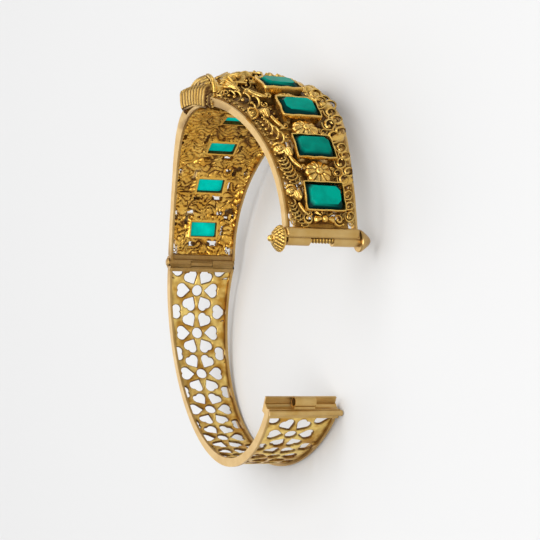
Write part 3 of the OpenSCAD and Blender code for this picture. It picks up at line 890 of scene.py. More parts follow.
class Bench:
    """Node tree of one material, with one method for every node."""

    def __init__(self, name: str) -> None:
        """Starts a material with nothing but its output."""
        self.material = bpy.data.materials.new(name)
        self.material.use_nodes = True
        self.tree = self.material.node_tree
        self.tree.nodes.clear()

    def node(self, kind: str, settings: dict[str, object], sockets: dict, output: str | int = 0) -> Link:
        """Adds a node.

        Args:
            kind: Its type.
            settings: Its properties, set before its sockets.
            sockets: Values or links of its inputs, by name or number.
            output: The output to hand back.

        Returns:
            That output.
        """
        made = self.tree.nodes.new(kind)
        for key, value in settings.items():
            if key == "stops":
                ramp = made.color_ramp
                while len(ramp.elements) < len(value):
                    ramp.elements.new(1.0)
                for element, (place, colour) in zip(ramp.elements, value):
                    element.position = place
                    element.color = (*colour, 1)
            else:
                setattr(made, key, value)
        for key, value in sockets.items():
            if isinstance(value, Link) and not isinstance(value.source, (int, float)):
                self.tree.links.new(value.source, made.inputs[key])
            else:
                made.inputs[key].default_value = value.source if isinstance(value, Link) else value
        return Link(self, made.outputs[output])

    def noise(self, per_mm: float, detail: float = 3.0, rough: float = 0.55) -> Link:
        """Cloudy pattern with so many lumps to a millimetre."""
        spot = self.node("ShaderNodeTexCoord", {}, {}, "Object")
        sockets = {"Vector": spot, "Scale": per_mm / MM, "Detail": detail, "Roughness": rough}
        return self.node("ShaderNodeTexNoise", {}, sockets, "Fac")

    def blend(self, share: Link | float, first: Link | Colour, second: Link | Colour) -> Link:
        """Colour between two colours."""
        ends = [end if isinstance(end, Link) else (*end, 1) for end in (first, second)]
        return self.node("ShaderNodeMix", {"data_type": "RGBA"}, {0: share, 6: ends[0], 7: ends[1]}, 2)

    def finish(self, sockets: dict, bump: Link | None = None, bump_mm: float = 0.0) -> bpy.types.Material:
        """Ends the tree in one shader.

        Args:
            sockets: The shader's inputs.
            bump: Height pattern, if the surface has one.
            bump_mm: Height of that pattern.

        Returns:
            The material.
        """
        if bump is not None:
            relief = {"Height": bump, "Distance": bump_mm * MM, "Strength": 1.0}
            sockets["Normal"] = self.node("ShaderNodeBump", {}, relief)
        shader = self.node("ShaderNodeBsdfPrincipled", {}, sockets, "BSDF")
        end = self.tree.nodes.new("ShaderNodeOutputMaterial")
        self.tree.links.new(shader.source, end.inputs["Surface"])
        return self.material


@dataclass(frozen=True)
class GoldFinish:
    """One finish of the gold: its colours on high, common and sunken metal, its grain, and the painted shade
    in its crevices.
    """

    name: str
    high: Colour
    common: Colour
    hollow: Colour
    rough: float
    grain_per_mm: float
    grain_mm: float
    # strength of the painted shade that the occlusion node puts into crevices
    crevice_shade: float = 0.8
    crevice_mm: float = 0.7
    hollow_rough: float = 0.62
    hollow_metal: float = 0.75
    patch: float = 1.6
    patch_per_mm: float = 0.35

    def make(self) -> bpy.types.Material:
        """Builds the material; the recess attribute darkens the hollows with patina and painted shade, and an
        occlusion node paints shade into the crevices.
        """
        bench = Bench(self.name)
        recess = bench.node("ShaderNodeAttribute", {"attribute_name": "recess"}, {}, "Fac").clamped()
        cloud = bench.noise(self.patch_per_mm, 2)
        fine = bench.noise(self.grain_per_mm, 4, 0.6)
        tint = bench.blend(((cloud - 0.5) * self.patch + 0.5).clamped(), self.common, self.high)
        # painted shade: ambient occlusion darkens the colour in crevices, where shade falls
        settings, sockets = {"samples": 6, "only_local": True}, {"Distance": self.crevice_mm * MM}
        open_sky = bench.node("ShaderNodeAmbientOcclusion", settings, sockets, "AO")
        crevice_shade = ((1 - open_sky) * 1.5 - 0.3).clamped()
        # patina and painted shade from the recess attribute, plus painted crevice shade, mixed towards the
        # hollow colour
        patina_and_shade = (recess * 0.9 + crevice_shade * self.crevice_shade + (fine - 0.5) * 0.5 * recess).clamped()
        colour = bench.blend(patina_and_shade, tint, self.hollow)
        rough = (fine - 0.5) * 0.22 + self.rough + patina_and_shade * (self.hollow_rough - self.rough)
        metal = 1 - patina_and_shade * (1 - self.hollow_metal)
        return bench.finish(
            {"Base Color": colour, "Roughness": rough, "Metallic": metal, "Specular IOR Level": 0.5},
            fine * 0.7 + bench.noise(self.grain_per_mm * 0.3, 2) * 0.3, self.grain_mm,
        )


@dataclass(frozen=True)
class StoneFinish:
    """Green glass over foil, with a painted glow in place of the light that comes through it.

    The shade attribute runs from the rim, dark with painted shade, to the green table and the back pane,
    bright with painted light.
    """

    name: str
    rim: Colour
    table: Colour
    pane: Colour
    painted_glow: float = 0.3
    rough: float = 0.05
    shine: float = 0.02
    index: float = 1.5

    def make(self) -> bpy.types.Material:
        """Builds the material."""
        bench = Bench(self.name)
        shade = bench.node("ShaderNodeAttribute", {"attribute_name": "shade"}, {}, "Fac")
        stops = [(0.0, self.rim), (0.5, self.table), (1.0, self.pane)]
        ramp = bench.node("ShaderNodeValToRGB", {"stops": stops}, {"Fac": shade}, "Color")
        depth = bench.noise(0.22, 2)
        flaw = bench.noise(0.8, 4, 0.65)
        cloud = ((depth - 0.5) * 2.2 + (flaw - 0.5) * 1.1 + 0.3).clamped()
        colour = bench.blend(cloud, ramp, bench.blend(0.5, ramp, self.rim))
        # painted glow: emission in the stone's own colour stands in for light passing through it
        return bench.finish({
            "Base Color": colour, "Roughness": self.rough, "IOR": self.index,
            "Specular IOR Level": self.shine, "Emission Color": colour, "Emission Strength": self.painted_glow,
        })


@dataclass(frozen=True)
class Finishes:
    """All the bangle's materials."""

    polished: bpy.types.Material
    antique: bpy.types.Material
    inside: bpy.types.Material
    stone: bpy.types.Material
    lattice: bpy.types.Material

    @classmethod
    def made(cls) -> Finishes:
        """Makes every material once."""
        return cls(
            polished=GoldFinish(
                "gold_polished", high=(0.66, 0.46, 0.19), common=(0.52, 0.31, 0.08),
                hollow=(0.13, 0.040, 0.005), rough=0.34, grain_per_mm=2.2, grain_mm=0.03,
            ).make(),
            antique=GoldFinish(
                "gold_antique", high=(0.80, 0.55, 0.17), common=(0.62, 0.35, 0.06),
                hollow=(0.055, 0.013, 0.002), rough=0.25, grain_per_mm=2.6, grain_mm=0.05,
            ).make(),
            # the cast inner face's own more orange gold, partly painted light: made brighter to make up for
            # the dimmer light inside the band
            inside=GoldFinish(
                "gold_inside", high=(0.92, 0.60, 0.14), common=(0.70, 0.34, 0.03),
                hollow=(0.085, 0.017, 0.001), rough=0.3, grain_per_mm=2.6, grain_mm=0.05,
            ).make(),
            # rim: near-black painted shade of the facets; pane: bright painted light coming through the stone
            stone=StoneFinish(
                "green_stone", rim=(0.0012, 0.010, 0.011), table=(0.0, 0.24, 0.17), pane=(0.0, 0.55, 0.45),
            ).make(),
            lattice=GoldFinish(
                "gold_lattice", high=(0.98, 0.72, 0.22), common=(0.56, 0.29, 0.045),
                hollow=(0.09, 0.024, 0.002), rough=0.3, grain_per_mm=2.0, grain_mm=0.05, patch=4.5,
            ).make(),
        )


def shown(name: str, data: bpy.types.ID) -> bpy.types.Object:
    """New object of some data, in the scene."""
    made = bpy.data.objects.new(name, data)
    bpy.context.scene.collection.objects.link(made)
    return made


def settle(
    stock: Stock, name: str, half: Half, material: bpy.types.Material, rule: Rule,
    attribute: str = "recess", space: Space = Space.BAND, body: str | None = None, smooth_deg: float = 40.0,
) -> bpy.types.Object:
    """Places a finished shape in the frame as a piece.

    Args:
        stock: The shape.
        name: The piece's name.
        half: The half that it belongs to.
        material: Its material.
        rule: Works out the attribute from the corners.
        attribute: Name of the value that its material reads from its corners.
        space: The coordinates that it was modelled in.
        body: The body it rides on, if not its half's.
        smooth_deg: Sharpest angle that is shaded smooth.

    Returns:
        The piece.
    """
    mesh = bpy.data.meshes.new(name)
    stock.bm.to_mesh(mesh)
    stock.bm.free()
    points = np.empty(len(mesh.vertices) * 3)
    mesh.vertices.foreach_get("co", points)
    points = points.reshape(-1, 3)
    layer = mesh.attributes.new(attribute, "FLOAT", "POINT")
    layer.data.foreach_set("value", np.ascontiguousarray(rule(points), dtype=np.float32))
    if space is Space.BAND:
        points = KADA.wrap(points, half)
        if half is Half.FRONT:
            mesh.flip_normals()
    mesh.vertices.foreach_set("co", KADA.lay(points, half).ravel())
    mesh.shade_smooth()
    mesh.set_sharp_from_angle(angle=math.radians(smooth_deg))
    mesh.update()
    piece = shown(name, mesh)
    mesh.materials.append(material)
    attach(piece, body or half.value)
    LOG.info("%s: %d faces", name, len(mesh.polygons))
    return piece


@dataclass(frozen=True)
class Mark:
    """Place of a small shape where the near strip climbs to the crown; turn, lean and pitch in degrees."""

    shape: str
    u: float
    w: float
    o: float
    turn: float
    size: float
    lean_deg: float = 0.0
    pitch_deg: float = 0.0


@dataclass(frozen=True)
class Bird:
    """A bird on the level part of the near strip and the tail of feathers behind it."""

    size: float
    ahead: float
    feathers: int
    tail_u: float
    tail_l: float
    tail_fall: float
    feather_size: float


CLIMB = {
    1: (
        Mark("shell", 5.7, 7.8, 2.8, 128, 0.78, 12, 48),
        Mark("wing", 10.3, 6.0, 2.35, -64, 0.72, 0, 40),
        Mark("neck", 12.2, 5.3, 2.2, -62, 0.95, 5, 30),
        Mark("ring", 6.6, 10.3, 1.1, 40, 0.8, 20, 25),
        Mark("scroll", 6.2, 9.2, 1.5, 80, 0.75, 20, 40),
        Mark("ring", 15.6, 5.2, 1.7, 0, 0.6, 0, 30),
        *(Mark("feather", u, w, o, -8, size, 8, 50) for u, w, o, size in (
            (8.4, 9.4, 1.5, 1.0), (9.9, 8.9, 1.5, 1.15), (11.9, 8.0, 1.45, 1.3),
            (13.8, 6.9, 1.5, 1.3), (15.8, 7.9, 1.3, 0.85),
        )),
    ),
    2: (
        Mark("head", 19.0, 8.8, 1.15, -70, 0.95, 12, 32),
        Mark("bud", 18.7, 6.0, 1.45, -8, 0.95, 0, 32),
        Mark("neck", 21.6, 4.75, 1.2, -46, 0.84, 0, 30),
        *(Mark("feather", u, w, o, -8, size, 8, 36) for u, w, o, size in (
            (21.4, 7.7, 1.3, 0.85), (22.3, 7.65, 1.3, 1.05), (23.5, 7.4, 1.3, 1.12),
            (24.7, 6.7, 1.35, 1.2), (26.0, 5.95, 1.4, 1.12),
        )),
    ),
}
BIRDS = {
    3: Bird(1.0, ahead=1.2, feathers=8, tail_u=1.5, tail_l=5.3, tail_fall=0.6, feather_size=0.95),
    4: Bird(0.9, ahead=0.1, feathers=7, tail_u=0.6, tail_l=3.7, tail_fall=0.9, feather_size=0.75),
}


@dataclass
class Openwork:
    """Cast panel on one side of the crown boss: sheet, bezels, flowers, birds, feathers and leaves."""

    side: int
    finishes: Finishes
    chasing: Chasing
    boss_u: float = 5.1
    clasp_end: float = 43.9
    hinge_end: float = 44.55
    sheet_top: float = 0.9
    sheet_half_w: float = 12.6
    under_end: float = 0.15
    foot: float = 0.55
    pane_u: float = 1.5
    pane_w: float = 2.8
    rim_u: float = 2.62
    rim_w: float = 4.0
    rim_top: float = 3.55
    gap_round: float = 0.24
    near_slope: float = 0.12
    far_slope: float = 0.8
    slope_u: float = 17.0
    slope_w: float = 9.2
    wide_strip: float = 4.5
    flower_o: tuple[float, ...] = (2.75, 2.2, 2.0)
    map_reach: Pair = (46.0, 13.0)
    relief: Stock = field(default_factory=Stock)
    swirls: Swirls = field(default_factory=lambda: Swirls(0.88, 11))
    lumps: Swirls = field(default_factory=lambda: Swirls(0.6, 5))

    @property
    def end_u(self) -> float:
        """End of the panel, at the clasp's bar or the hinge's."""
        return self.clasp_end if self.side > 0 else self.hinge_end

    @property
    def name(self) -> str:
        """The side that the panel is on."""
        return "clasp_side" if self.side > 0 else "hinge_side"

    def strip(self, u: float) -> float:
        """Room across the band between the bezels and the rail."""
        return KADA.front_half_w(np.array([u])).item() - KADA.rail_t - KADA.run_gap - self.rim_w

    def put(
        self, shape: Stock, u: float, w: float, o: float, turn: float = 0.0, size: float = 1.0,
        flip: bool = False, lean_deg: float = 0.0, pitch_deg: float = 0.0,
    ) -> None:
        """Adds a copy to the relief, mirrored on the hinge side and leaning with the slope of the strips.

        Args:
            shape: The shape to copy.
            u: Place along the band.
            w: Place across it.
            o: Height over the level strips.
            turn: Turn about the outward axis, in degrees.
            size: Scale of the copy.
            flip: Whether it is mirrored across its own length.
            lean_deg: How much more it leans towards its rail.
            pitch_deg: How far it turns away from the crown; such a copy keeps its own height and lean.
        """
        lean, lift = math.radians(lean_deg), 0.0
        if pitch_deg:
            lean = math.copysign(lean, w)
        elif abs(w) > self.rim_w - 0.2:
            lift = float(self.rise(u, w)) - self.sheet_top
            slope = self.near_slope if w > 0 else self.far_slope
            lean = math.copysign(lean + math.atan(slope * self._steep(u)) * (abs(w) < self.slope_w), w)
        place = Matrix.Translation((u, w, o + lift)) @ Matrix.Rotation(math.radians(pitch_deg), 4, "Y")
        place = place @ Matrix.Rotation(-lean, 4, "X") @ at(0, 0, 0, turn, size, flip)
        self.relief.join(shape, Matrix.Diagonal((self.side, 1, 1, 1)) @ place)

    def _steep(self, u: Array | float) -> Array:
        """How steep the strips are, from 1 at the crown boss to 0."""
        return np.clip(1 - (np.abs(u) - self.boss_u) / self.slope_u, 0, 1) ** 0.8

    def rise(self, u: Array | float, w: Array | float) -> Array:
        """Height of the strips, which climb from the rails to the bezels near the crown."""
        slope = np.where(np.asarray(w) > 0, self.near_slope, self.far_slope)
        climb = np.clip(self.slope_w - np.abs(w), 0, self.slope_w - self.rim_w)
        return self.sheet_top + slope * self._steep(u) * climb

    def build(self) -> None:
        """Models the panel and places its pieces."""
        for k in range(1, ROW.count + 1):
            u = k * ROW.pitch
            self._near_strip(u, k)
            self._far_strip(u, k)
            if k < ROW.count:
                self.put(self.chasing.flower, u + ROW.pitch / 2, 0.0, self.flower_o[k - 1])
                self._flower_sides(u + ROW.pitch / 2)
        self._end()
        for sign in (1, -1):
            self._mound(sign)
        self.relief.move(self._kept)
        for k in range(1, ROW.count + 1):
            self._bezel(k)
        end, edge = self.map_reach
        top = HeightMap((-end, -edge), (end, edge), MAP_CELL, self.sheet_top - 0.3)
        top.lay(self.relief.points())
        self._dress(top.blurred(4), top.blurred(9))

    def _mound(self, sign: int) -> None:
        """Ground of one strip where it climbs to the bezels."""
        def metal(u: Array, w: Array) -> Array:
            """Above zero from the boss to the end of the slope, and from the panes to the rail."""
            rail = KADA.front_half_w(u) - KADA.rail_t - 0.15 - sign * w
            across = np.minimum(rail, sign * w - self.pane_w - 0.75)
            along = np.minimum(np.abs(u) - self.boss_u, self.boss_u + self.slope_u - 0.5 - np.abs(u))
            return np.minimum(across, along)

        low, high = sorted((self.side * self.boss_u, self.side * (self.boss_u + self.slope_u)))
        near, far = sorted((sign * (self.rim_w - 0.5), sign * self.sheet_half_w))
        ground = Sheet(
            (low, near), (high, far), 0.3, metal, self.rise, lambda u, w: np.full_like(u, self.foot)
        )
        self.relief.join(ground.cut())

    def _kept(self, p: Array) -> Array:
        """Keeps every foot inside the sheet and every shape inside the rails."""
        reach = KADA.front_half_w(p[:, 0]) - KADA.rail_t - KADA.run_gap - 0.02
        return np.stack([p[:, 0], np.clip(p[:, 1], -reach, reach), np.maximum(p[:, 2], self.foot)], 1)

    def _dress(self, near: HeightMap, broad: HeightMap) -> None:
        """Cuts the sheet and places both pieces.

        Args:
            near: The relief's height, a little smoothed.
            broad: The relief's height, much smoothed.
        """
        def dark(p: Array) -> Array:
            """Recess of the relief, darkened with patina and painted shade: what its neighbours stand over,
            and what lies by the ground.
            """
            u, w, o = p.T
            # patina and painted shade: darker where neighbours stand over it and near the ground
            sunk = np.clip((near.at(u, w) - o - 0.1) / 0.75, 0, 1)
            low = np.clip(1.05 - (o - self.rise(u, w)) / 0.55, 0, 1) * 0.85
            return np.clip(np.maximum(sunk, low), 0, 1)

        def bottom(u: Array, w: Array) -> Array:
            """Inner face: curly like the relief above it, and plain round the panes."""
            hollow = 0.45 * np.clip(broad.at(u, w) - 1.3, 0, 0.8)
            frame = np.maximum(ROW.nearest(u) - self.pane_u - 0.42, np.abs(w) - self.pane_w - 0.4)
            plain = np.clip(1 - frame / 0.3, 0, 1)
            high, lumps = self.swirls.height(u, w), self.lumps.height(u, w)
            curly = 0.42 + hollow - 0.42 * high - 0.22 * lumps * (0.4 + 0.6 * high)
            return curly * (1 - plain) - (0.1 + 0.06 * lumps) * plain

        def inner_dark(p: Array) -> Array:
            """Recess of the sheet: painted shade on its panes' walls, and patina and painted shade in the
            valleys inside and on the ground outside.
            """
            u, w, o = p.T
            # painted shade: the panes' walls are fully darkened, as if in shadow
            window = (ROW.nearest(u) < self.pane_u + 0.06) & (np.abs(w) < self.pane_w + 0.06)
            inside = np.clip((o - 0.1) / 0.4, 0, 1)
            return np.where(window, 1.0, np.where(o < 0.72, inside, dark(p)))

        low, high = sorted((self.side * self.boss_u, self.side * (self.end_u + self.under_end)))
        sheet = Sheet(
            (low, -self.sheet_half_w), (high, self.sheet_half_w), 0.17, self._metal,
            lambda u, w: self.sheet_top + 0.1 * self.lumps.height(u, w), bottom,
        )
        piece = settle(
            sheet.cut(), f"openwork_sheet_{self.name}", Half.FRONT, self.finishes.inside,
            rule=inner_dark, smooth_deg=60,
        )
        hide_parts(f"openwork_{self.name}")
        piece = settle(
            self.relief, f"openwork_relief_{self.name}", Half.FRONT, self.finishes.antique,
            rule=dark,
        )
        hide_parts(f"openwork_{self.name}")

    def _metal(self, u: Array, w: Array) -> Array:
        """Outline of the sheet, less its windows and gaps."""
        along = np.abs(u)
        edge = KADA.front_half_w(u) - KADA.rail_t + 0.1 - np.abs(w)
        value = np.minimum(edge, np.minimum(along - self.boss_u, self.end_u + self.under_end - along))
        for k in range(1, ROW.count + 1):
            du = along - k * ROW.pitch
            value = np.minimum(value, np.maximum(np.abs(du) - self.pane_u, np.abs(w) - self.pane_w))
            for hole_u, hole_w, half_u, half_w in self._gaps(k):
                off_u = np.maximum(np.abs(du - hole_u) - half_u, 0)
                off_w = np.maximum(np.abs(w - hole_w) - half_w, 0)
                value = np.minimum(value, np.hypot(off_u, off_w) - self.gap_round)
        return value

    def _gaps(self, k: int) -> list[tuple[float, float, float, float]]:
        """Gaps about one stone: place and half size, along and across the band."""
        rail = self.rim_w + self.strip(k * ROW.pitch)
        gaps = [
            (-2.3, 3.95, 1.2, 0.12), (0.2, -4.2, 0.8, 0.1),
            (3.1, 2.3, 0.2, 0.55), (2.95, -2.15, 0.3, 0.95), (-3.5, -3.3, 0.25, 0.45), (-3.5, 3.0, 0.22, 0.3),
            (-2.9, rail - 0.36, 0.7, 0.14), (2.9, rail - 0.36, 0.35, 0.12), (-1.0, rail - 0.34, 0.12, 0.1),
            (-4.1, -5.6, 0.4, 0.3), (-3.2, 0.4 - rail, 0.45, 0.12), (4.6, 0.36 - rail, 0.5, 0.1),
        ]
        if k == ROW.count:
            gaps += [(4.4, rail - 0.75, 0.75, 0.3), (4.3, 0.9 - rail, 0.45, 0.3), (-3.2, -4.85, 0.95, 0.28)]
        if k == ROW.count - 1:
            gaps += [(-3.1, -4.7, 0.6, 0.2)]
        return gaps

    def _bezel(self, k: int) -> None:
        """Thin uneven wall round a stone, narrower at its foot, with a ledge inside.

        Args:
            k: The stone's number, counted from the crown.
        """
        u = k * ROW.pitch
        pane, rim, top = (self.pane_u, self.pane_w), (self.rim_u, self.rim_w), self.rim_top
        rings = [
            oblong(around[0] + more_u, around[1] + more_w, corner, z)
            for around, more_u, more_w, corner, z in (
                (pane, 0.05, 0.05, 0.12, 0.02), (pane, 0.62, 0.55, 0.2, 0.02), (pane, 0.7, 0.65, 0.25, 1.2),
                (rim, -0.05, -0.1, 0.3, 2.7), (rim, 0.0, 0.0, 0.3, top - 0.12), (rim, -0.06, -0.06, 0.3, top),
                (rim, -0.22, -0.22, 0.25, top), (rim, -0.28, -0.28, 0.25, top - 0.12),
                (rim, -0.32, -0.32, 0.25, 1.85), (pane, 0.1, 0.1, 0.12, 1.8),
            )
        ]

        def bent(p: Array) -> Array:
            """Tips the wall with its stone and makes its upper edge uneven."""
            x, y, z = p.T
            high = np.clip((z - 2.2) / 1.2, 0, 1)
            wave = 0.07 * np.sin(2.1 * y + 1.3 * u) * np.cos(2.7 * x - u) + 0.03 * np.sin(4.7 * x + 3.1 * y)
            out = 0.05 * np.sin(1.9 * x + 2.6 * y + 0.7 * u)
            raised = z + high * wave + ROW.raised(k, x) * np.clip((z - 0.1) / 1.2, 0, 1)
            return np.stack([x * (1 + high * out / 3), y * (1 + high * out / 3.5), raised], 1)

        self.put(loft(rings + rings[:1], closed=True).move(bent), u, 0.0, 0.0)

    def _near_strip(self, u: float, k: int) -> None:
        """Bird by one stone, with curls where the strip is wide, and beads."""
        for mark in CLIMB.get(k, ()):
            self.put(
                getattr(self.chasing, mark.shape), mark.u, mark.w, mark.o, mark.turn, mark.size,
                lean_deg=mark.lean_deg, pitch_deg=mark.pitch_deg,
            )
        if k in BIRDS:
            self._bird(u, BIRDS[k])
        if self.strip(u) > self.wide_strip:
            for i in range(6):
                here = u - 3.4 + 1.7 * i
                w = self.rim_w + self.strip(here) - 0.75
                self.put(self.chasing.ring, here, w, self.sheet_top - 0.2, 70 * i, 0.5)
        self._beads(u, 1)

    def _bird(self, u: float, bird: Bird) -> None:
        """Head by the rail, ribbed bud by the bezel, long neck and a tail of feathers."""
        kit, base, room, size = self.chasing, self.sheet_top, self.strip(u), bird.size
        self.put(kit.head, u - 1.5 + bird.ahead, self.rim_w + room * 0.72, base + 0.1, -70, size * 0.95)
        self.put(kit.bud, u - 0.6 + bird.ahead, self.rim_w + room * 0.24, base + 0.8, -12, size * 0.92)
        neck_u, neck_w = u + 2.0 + bird.ahead * 0.7, self.rim_w + room * 0.12 - 0.3
        self.put(kit.neck, neck_u, neck_w, base + 0.5, -38, size * 0.78)
        for i in range(bird.feathers):
            share = i / (bird.feathers - 1)
            here = u + bird.tail_u + bird.tail_l * share
            wide = self.strip(min(here, self.end_u - 1.0))
            over = 0.76 - bird.tail_fall * share**1.6
            grow = bird.feather_size * (0.86 + 0.2 * math.sin(math.pi * (0.2 + 0.7 * share)))
            self.put(kit.crescent, here, self.rim_w + wide * over, base + 0.05, 6 - 16 * share, grow)

    def _beads(self, u: float, sign: int) -> None:
        """Beads along the rail and the bezel."""
        for i in range(6):
            here = min(u - 4.2 + 1.6 * i, self.end_u - 0.6)
            w = sign * (self.rim_w + self.strip(here) - 0.32)
            self.put(self.chasing.bead, here, w, self.sheet_top + 0.2)
        for step in (-2.6, -0.9, 0.9, 2.6):
            w = sign * (self.rim_w + 0.05)
            self.put(self.chasing.bead, u + step, w, self.sheet_top + 0.45, size=1.1)

    def _far_strip(self, u: float, k: int) -> None:
        """Broad leaf from the rail to the bezel and a chain of open scrolls."""
        kit, base, room = self.chasing, self.sheet_top, self.strip(u)
        last = k == ROW.count
        grow = (1.3, 1.15, 1.0, 0.8)[k - 1]
        pitch_deg = (30.0, 16.0, 0.0, 0.0)[k - 1]
        self.put(kit.wing, u - 3.5, -(self.rim_w + room * 0.6), base + 0.4, 66, grow * 0.95)
        self.put(kit.leaf, u - 1.9, -(self.rim_w + room * 0.32), base + 0.1, 100, grow * 0.65)
        shares, run = ((0.5, 0.5, 0.5), 3.9) if last else ((0.58, 0.7, 0.34, 0.74, 0.3), 6.9)
        for i, share in enumerate(shares):
            here = u - 0.9 + run * i / (len(shares) - 1)
            w = -(self.rim_w + self.strip(min(here, self.end_u - 1.0)) * share)
            lift = float(self.rise(here, w)) if pitch_deg else base
            turn = 35 + 40 * (i % 2)
            self.put(kit.loop, here, w, lift + 0.25, turn, grow * 1.1, flip=True, pitch_deg=pitch_deg)
        if not last:
            self.put(kit.loop, u + 4.4, -(self.rim_w + 0.1), base + 0.15, 60, 0.75, flip=True)
        if room > self.wide_strip:
            for i in range(6):
                here = u - 4.0 + 1.5 * i
                self.put(kit.crescent, here, -(self.rim_w + self.strip(here) - 1.0), base, 150, 0.8)
        self._beads(u, -1)

    def _flower_sides(self, u: float) -> None:
        """Small leaves and curls beside a flower."""
        for side in (-1, 1):
            self.put(self.chasing.ring, u + 0.9, side * 3.75, self.sheet_top, 90 * side, 0.6)
            self.put(self.chasing.leaf, u - 1.5, side * 3.7, self.sheet_top + 0.2, side * 70, 0.5)

    def _end(self) -> None:
        """Half flower, scrolls and beads before the end bar."""
        kit, u, base = self.chasing, self.end_u - 1.4, self.sheet_top
        self.put(kit.half_flower, u, 0.0, base + 0.6, size=1.05)
        for side in (-1, 1):
            for shape, du, w, lift, turn, size, flip in (
                (kit.scroll, 0.1, 3.0, 0.2, 90 + 60 * side, 0.95, side > 0),
                (kit.ring, -0.5, 4.75, 0.0, 200, 0.78, side < 0),
                (kit.scroll, 0.45, 5.75, 0.0, 30 * side, 0.55, False),
                (kit.bead, 0.8, 4.1, 0.3, 0, 1.2, False),
                (kit.bead, -1.0, 3.6, 0.4, 0, 1.2, False),
            ):
                self.put(shape, u + du, side * w, base + lift, turn, size, flip)


